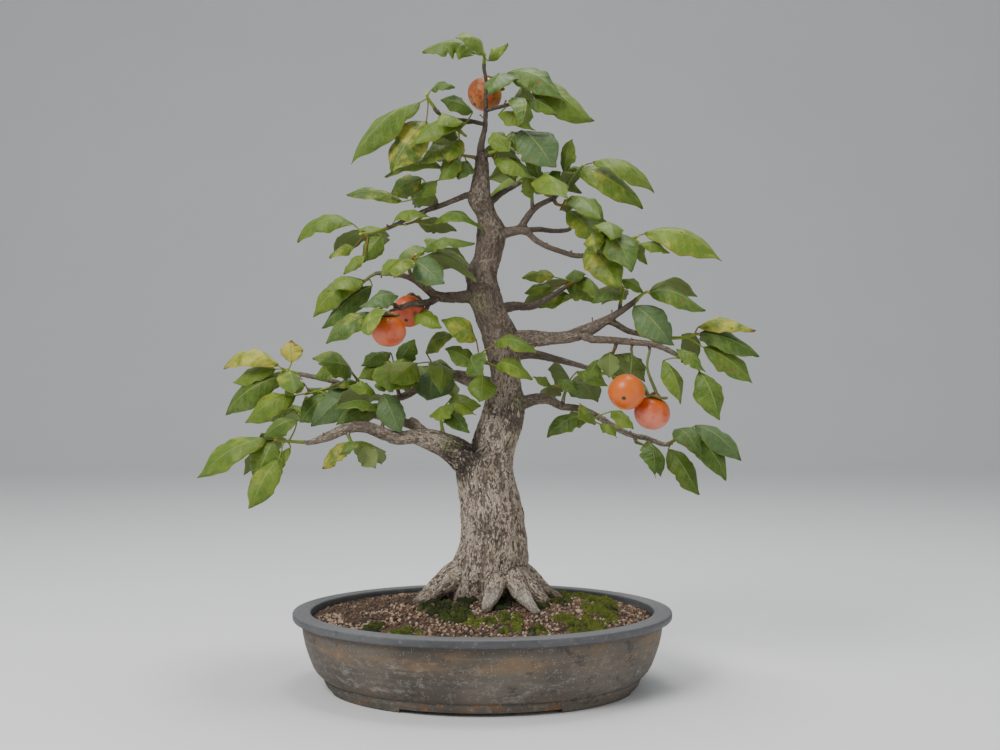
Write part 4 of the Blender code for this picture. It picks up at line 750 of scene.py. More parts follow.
    "low_right_end": ("low_right", 11, [(234,301,44), (246,308,40), (258,315,36)],
        [(3,4,-2,2,43,-20,-60,20,12,37,-11,8), (2,12,-2,10,54,-23,-43,34,13,37,-20,-15),
        (0,-15,6,-16,35,-21,-58,18,10,36,-19,6), (1,-10,5,7,27,-48,-32,25,13,33,-10,11),
        (1,5,5,1,42,47,-20,133,14,40,-16,-12), (3,8,1,-1,58,5,-21,96,13,35,-13,-11)]),
    "low_right_mid": ("low_right", 9, [(192,302,36), (198,300,30), (204,298,26)],
        [(1,5,0,5,14,-17,-44,20,7,28,-24,-12), (0,2,-11,-1,7,-41,-36,39,10,32,-25,12)]),
    "low_right_top": ("low_right", 4, [(101,356,24), (104,366,20), (110,376,16)],
        [(2,-16,1,8,29,-12,-19,38,7,21,-13,-9), (0,13,-4,23,39,-5,-19,34,8,23,-14,-17),
        (0,-19,1,5,-24,-8,12,40,5,16,-28,10), (2,6,9,1,37,57,-22,136,12,42,-15,-8),
        (3,-3,8,3,-22,68,17,140,11,38,-27,1), (1,-6,9,1,-29,42,-22,136,12,32,-25,13)]),
    "back_low": ("back_low", 3, [(-36,384,148), (-50,388,158), (-66,390,166)],
        [(3,-5,7,3,-28,44,-19,136,9,28,-22,22), (0,-8,-5,2,-54,-31,-20,58,16,38,-15,-7),
        (5,5,-6,3,37,-43,-14,47,8,32,-22,-6), (1,2,8,1,15,65,-35,141,10,39,-24,7)]),
    "back_mid": ("back_mid", 3, [(-42,532,124), (-56,538,134), (-72,544,142)],
        [(0,-1,-9,2,-7,-65,-2,39,15,34,-24,-1), (3,7,6,3,43,36,-19,129,10,30,-16,-5),
        (6,-4,-8,1,-29,-58,-46,42,17,44,-24,-24), (1,8,4,2,45,18,-27,116,8,30,-14,-24)]),
    "back_right": ("back_right", 3, [(136,393,148), (152,388,158), (170,382,166)],
        [(6,5,7,0,29,42,-41,136,14,41,-20,-8), (2,4,7,2,34,51,5,136,9,31,-23,0),
        (5,9,-1,-1,42,-2,-37,86,14,33,-16,21), (1,-7,5,0,-44,36,-22,128,13,36,-19,8)]),
    "back_high": ("back_high", 2, [(48,626,74), (58,632,86), (66,638,96)],
        [(2,-7,6,2,-52,51,1,131,17,39,-24,-16), (0,6,1,3,64,12,-22,103,14,41,-21,9),
        (4,-9,-1,0,-60,-5,-42,84,9,41,-20,23), (1,5,9,-1,33,57,-17,137,8,37,-14,2)]),
}
print("twigs:", len(SPRAYS), "leaves:", sum(len(spray[3]) for spray in SPRAYS.values()))

# %% Fruits: centre, radius, height share, the way the calyx faces, and the stalk's branch and points
FRUITS = [
    (180, 365, -84, 21.6, 0.97, (0.25, 0.9, 0.36), "mid_right_front", 4, [(186, 419, -60), (187, 404, -54)]),
    (212, 339, -66, 21.3, 0.98, (0.22, -0.1, 0.97), "mid_right_front", 5, [(209, 417, -66), (206, 394, -66)]),
    (-117, 441, -84, 20.4, 0.93, (0.0, 0.1, 1.0), "mid_left_low", 3, [(-112, 467, -74), (-115, 466, -79)]),
    (-92, 466, -30, 20.0, 0.95, (0.12, 0.75, 0.65), "mid_left_low", 1, [(-74, 474, -20), (-80, 484, -8)]),
    (3, 737, 34, 22.4, 0.95, (0.62, 0.35, 0.7), "leader", 4, [(9, 750, 6), (20, 762, 20)]),
]
print("fruits:", len(FRUITS))

# %% Every line of wood
TWIG_RADIUS = 2.4
STALK_RADIUS = 1.7
SPUR_SWELL = 1.3
STALK_SWELL = 1.4
WOOD_STEP = 3.0
TRUNK_STEP = 4.0


def line_of(name):
    """A branch's points and radii at their real places."""
    return [(*seen(x, z, depth), radius) for x, z, depth, radius in BRANCHES[name]]


def point_in_wood(branch, at):
    """The real place of one of a branch's points, or of a drawn point in the trunk."""
    return Vector(seen(*at)) if branch == "trunk" else Vector(line_of(branch)[at][:3])


at_end = [name for name, (branch, at, *_) in SPRAYS.items()
          if branch in BRANCHES and at == len(BRANCHES[branch]) - 1]
wood_lines = {}
for name in BRANCHES:
    rows = line_of(name)
    for twig in at_end:
        if SPRAYS[twig][0] == name:
            rows.append((*seen(*SPRAYS[twig][2][0]), TWIG_RADIUS))
    wood_lines[name] = smooth_path(rows, WOOD_STEP)
for twig, (branch, at, route, _) in SPRAYS.items():
    if twig not in at_end:
        rows = [(*point_in_wood(branch, at), TWIG_RADIUS * SPUR_SWELL), (*seen(*route[0]), TWIG_RADIUS)]
        wood_lines["spur_" + twig] = smooth_path(rows, WOOD_STEP)
for number, (*_, branch, at, route) in enumerate(FRUITS, 1):
    rows = [(*point_in_wood(branch, at), STALK_RADIUS * STALK_SWELL), (*seen(*route[0]), STALK_RADIUS)]
    wood_lines[f"stalk_spur_{number}"] = smooth_path(rows, WOOD_STEP)
trunk_rows = smooth_path([(*seen((left + right) / 2, z, depth), (right - left) / 2)
                          for z, left, right, depth in TRUNK], TRUNK_STEP)
print("lines of wood:", len(wood_lines), "of them ending in a twig:", len(at_end))
print("trunk stations:", len(trunk_rows))

# %% A trunk from a cylinder
TRUNK_SIDES = 72
TRUNK_CUTS = 150
TRUNK_DEPTH_SHARE = 0.94
FLUTE = 0.035
FOOT_FLUTE = 0.09
FLUTES_BELOW = 150
FLUTE_FADE = 60


def trunk_point(angle, height):
    """The trunk's surface in this direction at this real height, with flutes that grow to its foot."""
    x, y, half = [float(np.interp(height, trunk_rows[:, 2], trunk_rows[:, k])) for k in (0, 1, 3)]
    foot = min(1.0, max(0.0, (FOOT_TOP - height) / (FOOT_TOP - SOIL_MOUND[0][1])))
    share = TRUNK_DEPTH_SHARE + (FOOT_DEPTH_SHARE - TRUNK_DEPTH_SHARE) * foot
    flute = FLUTE + FOOT_FLUTE * max(0.0, (FLUTES_BELOW - height) / FLUTE_FADE)
    r = half * (1 + flute * (0.6 * math.sin(3 * angle + 0.8) + 0.5 * math.sin(5 * angle + height / 55)))
    return Vector((x + r * math.cos(angle), y + share * r * math.sin(angle), height))


trunk = added(bpy.ops.mesh.primitive_cylinder_add, vertices=TRUNK_SIDES, radius=1, depth=1)
edit(trunk, "EDGE", lambda edge: abs(edge.verts[0].co.z - edge.verts[1].co.z) > 0.5)
bpy.ops.mesh.subdivide(number_cuts=TRUNK_CUTS)
edited()
low, high = WOOD_BOTTOM - 2, float(trunk_rows[-1, 2])
for vertex in trunk.data.vertices:
    angle = math.atan2(vertex.co.y, vertex.co.x)
    vertex.co = trunk_point(angle, low + (vertex.co.z + 0.5) * (high - low)) * MM
print("trunk points:", len(trunk.data.vertices))


# %% Branches as beveled curves
def tube_of(name, rows, rounding):
    """A tube along rows of x, y, z and radius: a curve with a round bevel, turned into a mesh."""
    curve = bpy.data.curves.new(name, "CURVE")
    curve.dimensions = "3D"
    curve.bevel_depth = MM
    curve.bevel_resolution = rounding
    curve.use_fill_caps = True
    spline = curve.splines.new("POLY")
    spline.points.add(len(rows) - 1)
    for point, (x, y, z, radius) in zip(spline.points, rows):
        point.co = (x * MM, y * MM, z * MM, 1)
        point.radius = radius
    made = bpy.data.objects.new(name, curve)
    bpy.context.scene.collection.objects.link(made)
    only(made)
    bpy.ops.object.convert(target="MESH")
    return bpy.context.object


def joined(name, pieces):
    """One object of this name, made of all the pieces."""
    only(pieces[0])
    for piece in pieces:
        piece.select_set(True)
    bpy.ops.object.join()
    pieces[0].name = name
    return pieces[0]


THICK = 3.4
LIMB_ROUNDING = 5
PLUG_SIDES = 48
limbs = []
for name, rows in wood_lines.items():
    thick = rows[rows[:, 3] >= THICK]
    if len(thick) > 2:
        limbs.append(tube_of(name, thick, LIMB_ROUNDING))
plug = added(bpy.ops.mesh.primitive_cylinder_add, vertices=PLUG_SIDES, radius=PLUG_RADIUS * MM,
             depth=(PLUG_TOP - PLUG_BOTTOM) * MM, location=(0, 0, (PLUG_TOP + PLUG_BOTTOM) / 2 * MM))
print("thick limbs:", len(limbs))

# %% Melt everything together
VOXEL = 1.7
SOFTER = 5
WEB_TOP = 172.0
WEB_SOFTER = 36


def soften(obj, passes, group=""):
    """Evens out a mesh, or only the points of one vertex group."""
    smooth = obj.modifiers.new("soften", "SMOOTH")
    smooth.factor = 0.5
    smooth.iterations = passes
    smooth.vertex_group = group
    apply_modifiers(obj)


wood = joined("wood", limbs + [trunk, plug])
remesh = wood.modifiers.new("melt", "REMESH")
remesh.mode = "VOXEL"
remesh.voxel_size = VOXEL * MM
soften(wood, SOFTER)
webbed = wood.vertex_groups.new(name="foot")
webbed.add([v.index for v in wood.data.vertices if v.co.z < WEB_TOP * MM], 1.0, "REPLACE")
soften(wood, WEB_SOFTER, "foot")
print("melted wood:", len(wood.data.polygons), "faces")

# %% [markdown]
# ## Bark
# Old persimmon bark breaks into small pale plates, and where a flake has come off the dark layer below
# shows. The plates follow the wood, so each point of the surface is given a place in the grain, across and
# along the branch that it lies on. Cells in that space, drawn out along the grain, give the plates, and the
# distance between the nearest two gives the gaps. The mesh itself is moved in and out, and the same values
# are kept for the colours.

# %% Where a point of the surface lies in the grain
ALONG_SHARE = 0.34
APART = 97.0
POINTS_AT_ONCE = 4000


def frames_along(rows):
    """For each row of a line: its place, radius, way on, two sides, and how far along it lies."""
    points = rows[:, :3]
    ways = np.gradient(points, axis=0)
    ways /= np.linalg.norm(ways, axis=1)[:, None]
    side = np.array(Vector(ways[0]).orthogonal().normalized())
    sides = []
    for way in ways:
        side = side - way * side.dot(way)
        side = side / np.linalg.norm(side)
        sides.append(side)
    sides = np.array(sides)
    steps = np.linalg.norm(np.diff(points, axis=0), axis=1)
    along = np.concatenate([[0], np.cumsum(steps)])
    return points, rows[:, 3], ways, sides, np.cross(ways, sides), along


skeleton = [frames_along(rows) for rows in [trunk_rows, *wood_lines.values()]]
bone_points, bone_radii, bone_ways, bone_sides, bone_across, bone_along = [
    np.concatenate([bone[k] for bone in skeleton]) for k in range(6)]
bone_number = np.concatenate([np.full(len(bone[0]), k) for k, bone in enumerate(skeleton)])


def grain_places(points):
    """For points in millimetres: their place in the grain and the thickness of the wood there."""
    places, thickness = [], []
    for start in range(0, len(points), POINTS_AT_ONCE):
        some = points[start:start + POINTS_AT_ONCE]
        offsets = some[:, None, :] - bone_points[None]
        reach = np.linalg.norm(offsets, axis=2) / bone_radii[None] ** 0.8
        near = reach.argmin(axis=1)
        offset = some - bone_points[near]
        along = bone_along[near] + (offset * bone_ways[near]).sum(axis=1)
        places.append(np.stack([
            (offset * bone_sides[near]).sum(axis=1) + bone_number[near] * APART,
            (offset * bone_across[near]).sum(axis=1),
            along * ALONG_SHARE], axis=1))
        thickness.append(bone_radii[near])
    return np.concatenate(places), np.concatenate(thickness)


def carry(obj, name, values, kind="FLOAT_COLOR"):
    """Stores a value per point in the mesh, for the finish to read."""
    layer = obj.data.attributes.new(name, kind, "POINT")
    if kind == "FLOAT_COLOR":
        values = np.concatenate([values, np.ones((len(values), 4 - values.shape[1]))], axis=1)
    layer.data.foreach_set(kind.split("_")[1].lower(), values.astype(np.float32).ravel())


grain, thickness = grain_places(mesh_values(wood) / MM)
print("grain runs from", grain.min(axis=0).round(), "to", grain.max(axis=0).round())

# %% Plates, chips and the gaps between them
PLATE = 4.6
CHIP = 3.2
GAP_WIDTH = 0.16
SUNK_BELOW = 0.16
OLD_THICKNESS = 30
PATCH_SIZE = 15.0
SWELL_SIZE = 22.0
BARK_SEED = 31


def bark_relief(grain, thickness, spots):
    """Heights in millimetres, and for colouring: how open the bark is, a tone for each plate and chip."""
    heights, tones = [], []
    for in_grain, thick, spot in zip(map(Vector, grain), thickness, map(Vector, spots)):
        share = min(1.0, thick / OLD_THICKNESS)
        size = 0.45 + 0.55 * share
        warp = noise.noise_vector(in_grain / 9.0) * 2.6 + noise.noise_vector(in_grain / 3.0) * 0.9
        distances, cells = noise.voronoi((in_grain + warp) / (PLATE * size))
        gap = 1 - min(1.0, (distances[1] - distances[0]) / GAP_WIDTH)
        tone = 0.5 + 0.5 * noise.cell(cells[0] * 13.7)
        _, cells = noise.voronoi((in_grain + warp * 0.6) / (CHIP * size) + Vector((31, 7, 3)))
        chip = 0.5 + 0.5 * noise.cell(cells[0] * 9.1)
        patch = min(1.0, max(0.0, noise.noise(spot / PATCH_SIZE) * 1.6 + 0.5))
        sunk = max(float(tone < SUNK_BELOW * (0.5 + patch)), gap * patch * 0.6)
        depth = 0.25 + 1.1 * share
        swell = 2.0 * share * noise.noise(spot / SWELL_SIZE)
        heights.append(depth * (0.9 * tone + 0.7 * chip - 0.9 * sunk) + swell)
        tones.append((sunk, tone, chip))
    return np.array(heights), np.array(tones)


FADE_IN = 4

# Blender draws the offsets of noise_vector from the clock unless they are given a seed.
noise.seed_set(BARK_SEED)
spots = mesh_values(wood) / MM
relief, tones = bark_relief(grain, thickness, spots)
foot = np.clip((spots[:, 2] - WOOD_BOTTOM) / FADE_IN, 0, 1)
facing = mesh_values(wood, "vector", wood.data.vertex_normals)
move_points(wood, (spots + facing * (relief * foot)[:, None]) * MM)
print("bark from", relief.min().round(2), "to", relief.max().round(2), "mm")

# %% Thin branches
# Where a thin branch runs on inside a thick one, its tube is slimmer, so that it stays out of sight.
THIN_ROUNDING = 2
INSIDE_BELOW = 9
NODE_SWELL = 0.05

thin = []
for name, rows in wood_lines.items():
    radii = rows[:, 3]
    if radii.min() < THICK + 0.6:
        inner = rows.copy()
        inner[:, 3] = np.where(radii > THICK, np.minimum(radii * 0.93, radii - 0.25), radii)
        inner[:, 3] *= 1 + NODE_SWELL * np.sin(np.arange(len(rows)) * 2.1)
        thin.append(tube_of(name, inner[radii < INSIDE_BELOW], THIN_ROUNDING))
branches = joined("thin_branches", thin)
thin_spots = mesh_values(branches)
thin_grain, thin_thickness = grain_places(thin_spots / MM)
thin_relief, thin_tones = bark_relief(thin_grain, thin_thickness, thin_spots / MM)
print("thin branches:", len(branches.data.vertices), "points")

# %% Short spurs and buds on the bare wood
BUD_RINGS = ((0.10, 1.75), (0.22, 1.12), (0.25, 0.62), (0.20, 0.12))

spur = added(bpy.ops.mesh.primitive_cone_add, vertices=6, radius1=1.0, radius2=0.75, depth=1.0,
             end_fill_type="NGON")
edit(spur, "FACE", lambda face: face.normal.z > 0.9)
for rise, spread in BUD_RINGS:
    bpy.ops.mesh.extrude_region_move(TRANSFORM_OT_translate={"value": (0, 0, rise)})
    bpy.ops.transform.resize(value=(spread, spread, 1))
edited()
spur_points, spur_faces = taken_from(spur)
spur_points[:, 2] += 0.5
print("spur faces:", len(spur_faces), "height", spur_points[:, 2].max().round(2))


# %% Copies gathered in one mesh
class Heap:
    """Copies of small shapes, gathered in one mesh with what each point carries."""

    def __init__(self):
        self.points, self.faces, self.kinds = [], [], []
        self.carried = {}
        self.count = 0

    def add(self, points, faces, kind=0, **values):
        """Points in millimetres. values are one row for the whole copy, or a row per point."""
        self.points.append(points)
        self.faces += [tuple(i + self.count for i in face) for face in faces]
        self.kinds += [kind] * len(faces)
        for name, value in values.items():
            value = np.array(value, float)
            if value.ndim == 1:
                value = np.tile(value, (len(points), 1))
            self.carried.setdefault(name, []).append(value)
        self.count += len(points)

    def make(self, name, smooth=True):
        """The heap as one object. Values in pairs become its UV map, and others are carried as colours."""
        made = mesh_object(name, np.concatenate(self.points) * MM, self.faces)
        made.data.polygons.foreach_set("material_index", self.kinds)
        for layer, values in self.carried.items():
            values = np.concatenate(values)
            if values.shape[1] == 2:
                corners = np.empty(len(made.data.loops), np.int32)
                made.data.loops.foreach_get("vertex_index", corners)
                flat = made.data.uv_layers.new(name=layer)
                flat.data.foreach_set("uv", values[corners].astype(np.float32).ravel())
            else:
                carry(made, layer, values)
        only(made)
        bpy.ops.object.shade_smooth() if smooth else bpy.ops.object.shade_flat()
        return made


print("the first copies will be", len(spur_points), "points each")


# %% Spurs along the branches
def tube_for_heap(rows, rounding):
    """A tube's points, in millimetres, and its faces."""
    points, faces = taken_from(tube_of("tube", rows, rounding))
    return points / MM, faces


def turned_to(way, spin=0.0):
    """The matrix, as an array, that turns up into this way, after a spin about up."""
    way = Vector(way).normalized()
    turn = Vector((0, 0, 1)).rotation_difference(way).to_matrix()
    around = np.array([[math.cos(spin), -math.sin(spin), 0], [math.sin(spin), math.cos(spin), 0], [0, 0, 1]])
    return np.array(turn) @ around


SPUR_STEP = 34.0
SPUR_LENGTHS = (1.2, 7.0)
SPUR_GIRTHS = (0.8, 1.15)
SPURS_BELOW = 7.5
BUD_LENGTH = 3.4
SPURRED = ["leader", "top_right", "top_left", "high_left", "high_right_up", "high_right_fork",
           "mid_left_far", "low_left", "behind_left", "low_right", "mid_right_front", "mid_right",
           "low_left_back", "high_right"]
chance = random.Random(31)
spurs = Heap()
for name in SPURRED:
    rows = wood_lines[name]
    last = 0
    for k in range(3, len(rows) - 2):
        if (k - last) * WOOD_STEP < SPUR_STEP * chance.uniform(0.6, 1.5) or rows[k][3] > SPURS_BELOW:
            continue
        last = k
        way = Vector(rows[k + 1][:3] - rows[k][:3]).normalized()
        out = way.orthogonal().normalized()
        out.rotate(Quaternion(way, chance.uniform(0, 2 * math.pi)))
        out = (out + Vector((0, 0, 0.3)) + way * chance.uniform(0.3, 1.3)).normalized()
        length, girth = chance.uniform(*SPUR_LENGTHS), chance.uniform(*SPUR_GIRTHS)
        sized = spur_points * np.array([girth, girth, 1])
        on_bud = sized[:, 2] > 1.001
        sized[:, 2] = np.where(on_bud, length + (sized[:, 2] - 1) * BUD_LENGTH, sized[:, 2] * length)
        start = rows[k][:3] + np.array(out) * rows[k][3] * 0.6
        look = columns(0.3, spur_points[:, 2] > 1.05, chance.random())
        spurs.add(sized @ turned_to(out, chance.random()).T + start, spur_faces, bark=look)
print("spurs:", len(spurs.points))

# %% Store the grain and the bark in the meshes
def store_bark(obj, grain, thickness, tones):
    """What the bark's finish reads: the grain, the plates' tones and the share of old wood."""
    carry(obj, "grain", grain, "FLOAT_VECTOR")
    carry(obj, "bark", tones)
    carry(obj, "age", columns(np.clip(thickness / OLD_THICKNESS, 0, 1), 0, 0.5))


store_bark(wood, grain, thickness, tones)
store_bark(branches, thin_grain, thin_thickness, thin_tones)
facing = mesh_values(branches, "vector", branches.data.vertex_normals)
move_points(branches, thin_spots + facing * np.clip(thin_relief, -0.5, 0.4)[:, None] * 0.5 * MM)
branches = joined("thin_branches", [branches, spurs.make("spurs")])
wood.name = "trunk_and_limbs"
for piece in (wood, branches):
    settle(piece)
    bpy.ops.object.shade_smooth()
print("wood size (m):", [round(v, 3) for v in wood.dimensions])

# %% Bark colours
bark = Finish("persimmon_bark")
in_grain = bark.carried("grain", "Vector")
pit, tone, _ = bark.split(bark.carried("bark"))
share, bud, chance_of_bud = bark.split(bark.carried("age"))
spot = bark.place()
across, deep, up = bark.split(spot)


def zone(x, z, reach):
    """1 at a drawn place of the wood, falling to 0 at this many millimetres from it."""
    away = ((across - POT_CENTRE.x - x * MM) ** 2.0 + (up - z * MM) ** 2.0) ** 0.5
    return bark.step(away, reach * MM, reach * MM * 0.35)


old = bark.step(share, 0.1, 0.45)
loose = bark.warped(bark.warped(in_grain, 0.14, 5.0), 0.5, 2.6)
fibres = bark.clouds(bark.scaled(loose, (1.0, 1.0, 0.8)), 0.9, 4.0, 0.66)
flakes = bark.scaled(loose, (1.0, 1.0, 1.1))
pick, _, _ = bark.split(bark.cells(flakes, 0.62, "Color"))
seam = bark.step(bark.cells(flakes, 0.62, "Distance", "DISTANCE_TO_EDGE"), 0.11, 0.03)
patch = bark.clouds(spot, 26.0, 3.0, 0.6)
plate = bark.layers(
    bark.mix(pick * 0.6 + tone * 0.4, (0.4, 0.298, 0.218), (0.74, 0.61, 0.475)),
    (bark.step(fibres, 0.5, 0.66) * 0.45, (0.84, 0.75, 0.63)),
    (bark.step(patch, 0.5, 0.62) * 0.35, (0.35, 0.238, 0.17)))
young = bark.mix(bark.step(fibres, 0.35, 0.62), (0.19, 0.14, 0.104), (0.46, 0.375, 0.285))
young = bark.mix(bark.step(up, 0.62, 0.74) * 0.75, young, (0.115, 0.08, 0.058))
cluster = zone(-26, 283, 44).larger(zone(48, 340, 38) * 0.8).larger(zone(8, 196, 26) * 0.5)
wide_splits = bark.step(bark.clouds(bark.scaled(loose, (1.0, 1.0, 0.7)), 0.26, 4.0), 0.46, 0.54) * cluster
openness = bark.step(patch, 0.36, 0.62) * 0.15 + 0.10 + cluster * 0.20
gaps = bark.step(pick, openness + 0.02, openness - 0.02) * 0.85
gaps = gaps.larger(seam * (openness * 2.2 + 0.2)).larger(wide_splits * 0.95)
gaps = gaps.larger(bark.step(pit + (fibres - 0.5) * 1.4, 0.55, 0.85) * 0.6) * (old * 0.35 + 0.6)
bare = bark.step(deep, POT_CENTRE.y - 0.036, POT_CENTRE.y - 0.052) * bark.step(up, 0.134, 0.118)
gaps = gaps * (1.0 - bare * 0.4)
shade = bark.step(bark.clouds(spot, 11.0, 3.0, 0.6), 0.5, 0.7) * 0.28 + bark.step(up, 0.28, 0.48) * 0.64
mossy = zone(-38, 304, 20).larger(zone(46, 354, 16)).larger(zone(-7, 473, 20) * 0.8).larger(
    bark.step(bark.clouds(spot, 19.0, 2.0), 0.6, 0.68) * 0.6)
lichen = bark.step(bark.clouds(spot, 260.0, 4.0, 0.7), 0.48, 0.58) * mossy
colour = bark.layers(
    bark.mix(old, young, plate),
    (bare * 0.6, (0.76, 0.7, 0.6)),
    (gaps, bark.mix(cluster, (0.056, 0.037, 0.026), (0.026, 0.018, 0.014))),
    (shade * bark.step(up, 0.2, 0.28), (0.125, 0.088, 0.062)),
    (lichen * 0.65, (0.36, 0.4, 0.14)),
    (bark.step(up, 0.124, 0.108) * bark.step(fibres, 0.4, 0.6) * 0.5, (0.1, 0.075, 0.045)),
    (bud, bark.mix(chance_of_bud, (0.36, 0.19, 0.085), (0.24, 0.13, 0.07))))
height = fibres * 0.5 + pick * 0.9 - gaps * 0.9 - seam * 0.4
bark.finish(
    Base_Color=colour,
    Roughness=bark.step(fibres, 0.2, 0.8) * 0.15 + 0.78,
    Normal=bark.bump(height, 0.002, 1.0))
for piece in (wood, branches):
    paint(piece, bark.material)
    dress(piece, "bark", "tree")
print("bark nodes:", len(bark.tree.nodes))

# %% [markdown]
# ## Soil, grit and moss
# The tree stands in loose grains of fired clay, pumice and lava, heaped a little round the trunk. Under
# them lies one mound, turned on the wheel like the pot, a little lower than its solid because the grains
# stand on it. The grains are one chipped pebble, copied at chance sizes and turns on an even net of places,
# so that they lie side by side and none stands in the wood. Moss grows in low cushions of many small domes,
# with short blades all over them.

# %% The mound
SOIL_EDGE = 86.5
BED_DROP = 3.2
SOIL_RADIUS = 211.6
SOIL_UNDER = [(175.6, 14.3), (191.6, 22), (205.6, 45), (211.2, 78), (SOIL_RADIUS, SOIL_EDGE - 1)]
SCREEN_POCKET = (0.0406, 0.0406, 0.0026)
SCREEN_HEIGHT = 0.0147


def soil_height(x, y):
    """The height of the soil's surface here, in millimetres."""
    r = math.hypot(x, y / POT_RATIO)
    rise = float(np.interp(r, *zip(*SOIL_MOUND, (SOIL_RADIUS, SOIL_EDGE))))
    bumps = noise.noise(Vector((x, y, 0)) / 17.0) * 1.5 + noise.noise(Vector((x, y, 50)) / 6.0) * 0.6
    return rise + (bumps - BED_DROP) * min(1.0, (SOIL_RADIUS - r) / 40 + 0.2)


inner_rings = [(r, SOIL_EDGE) for r in range(206, 8, -6)]
soil_bed = throw("soil_bed", SOIL_UNDER + inner_rings, POT_STEPS)
squeeze(soil_bed, POT_RATIO)
for vertex in soil_bed.data.vertices:
    if vertex.co.z > (SOIL_EDGE - 2) * MM:
        vertex.co.z = soil_height(vertex.co.x / MM, vertex.co.y / MM) * MM
cut(soil_bed, added(bpy.ops.mesh.primitive_cylinder_add, vertices=PLUG_SIDES, radius=(PLUG_RADIUS + 1) * MM,
                    depth=0.08, location=(0, 0, (PLUG_BOTTOM - 0.5) * MM + 0.04)))
for x in (-DRAIN_X, DRAIN_X):
    cut(soil_bed, added(bpy.ops.mesh.primitive_cube_add, size=1, location=(x * MM, 0, SCREEN_HEIGHT),
                        scale=SCREEN_POCKET))
print("soil bed size (mm):", (np.ptp(mesh_values(soil_bed), axis=0) / MM).round(1))

# %% One chipped grain
pebble = added(bpy.ops.mesh.primitive_ico_sphere_add, subdivisions=1, radius=1)
edit(pebble)
bpy.ops.transform.resize(value=(1, 0.82, 0.66))
bpy.ops.mesh.bisect(plane_co=(0.55, 0, 0.2), plane_no=(0.9, 0.2, 0.3), clear_outer=True, use_fill=True)
edited()
grit_points, grit_faces = taken_from(pebble)
print("grain faces:", len(grit_faces))

# %% Moss cushions, as the camera sees them: left, right, bottom and top in the drawing, and how bright
MOSS = [
    (-78, -40, 84, 106, 0.15), (-52, -12, 74, 100, 0.2), (-66, -34, 74, 88, 0.3), (-34, -6, 98, 110, 0.0),
    (-118, -72, 58, 66, 0.6), (-30, 2, 63, 74, 0.85), (2, 18, 64, 70, 0.5), (20, 34, 60, 73, 0.7),
    (34, 48, 62, 73, 0.9), (10, 34, 90, 106, 0.0), (48, 68, 98, 114, 0.5),
    (80, 110, 99, 109, 0.3), (88, 112, 108, 121, 0.8), (114, 150, 102, 119, 0.75), (140, 166, 92, 106, 0.6),
    (126, 150, 82, 98, 0.9), (148, 168, 74, 90, 0.8), (90, 114, 71, 85, 0.85), (108, 134, 61, 76, 0.6),
    (128, 152, 64, 82, 0.9), (62, 84, 92, 100, 0.2), (-150, -126, 62, 70, 0.3), (60, 82, 60, 67, 0.5),
]


FIRST_GUESS = 100.0
GUESSES = 12


def on_soil(x, z):
    """Where the sight line through a drawn point meets the soil, found by guessing its height again."""
    aim = Vector((x, 0, z)) - EYE
    height = FIRST_GUESS
    for _ in range(GUESSES):
        point = EYE + aim * ((height - EYE.z) / aim.z)
        reach = math.hypot(point.x, point.y / POT_RATIO)
        height = soil_height(point.x, point.y) if reach < SOIL_RADIUS else SOIL_EDGE
    return point


cushions = []
for left, right, bottom, top, bright in MOSS:
    near, far = on_soil((left + right) / 2, bottom), on_soil((left + right) / 2, top)
    middle = (near + far) / 2
    grown = (middle.y - EYE.y) / -EYE.y
    cushions.append((middle.x, middle.y, (right - left) / 2 * grown, max(7.0, (far.y - near.y) / 2), bright))
print("moss cushions:", len(cushions))

# %% Clumps of moss on the cushions
CLUMP_ROOM = 30.0
CLUMP_SIZES = (2.4, 5.4)

chance = random.Random(23)
clumps = []
for cx, cy, a, b, bright in cushions:
    for _ in range(max(3, round(math.pi * a * b / CLUMP_ROOM))):
        turn, out = chance.uniform(0, 2 * math.pi), chance.random() ** 0.6 * 1.02
        clumps.append((cx + a * out * math.cos(turn), cy + b * out * math.sin(turn),
                       chance.uniform(*CLUMP_SIZES), bright + chance.uniform(-0.4, 0.3)))
clump_table = np.array(clumps)
print("moss clumps:", len(clumps))


def in_moss(x, y):
    """How far inside a clump of moss a place lies: 1 in the middle, 0 at its edge, less outside."""
    away = np.hypot(clump_table[:, 0] - x, clump_table[:, 1] - y)
    return float((1 - away / clump_table[:, 2]).max())


# %% Scatter the grains
GRAIN_PITCH = 4.5
ROW_PITCH = GRAIN_PITCH * 0.866
GRAIN_SHIFT = 1.3
GRAIN_SIZES = (1.3, 2.9)
LARGE_SHARE = 0.12
LARGE = 1.35
EDGE_ROOM = 3.2
BARE_IN_MOSS = 0.30
ROOTS_WITHIN = 110

wood_tree = BVHTree.FromObject(wood, bpy.context.evaluated_depsgraph_get())


def near_wood(x, y, z, reach):
    """Whether a place is closer to the wood than this, or inside it, where the wood's outer side is above."""
    spot = place((x, y, z))
    above = wood_tree.ray_cast(spot, Vector((0, 0, 1)))
    return wood_tree.find_nearest(spot)[3] < reach * MM or (above[0] is not None and above[1].z > 0)


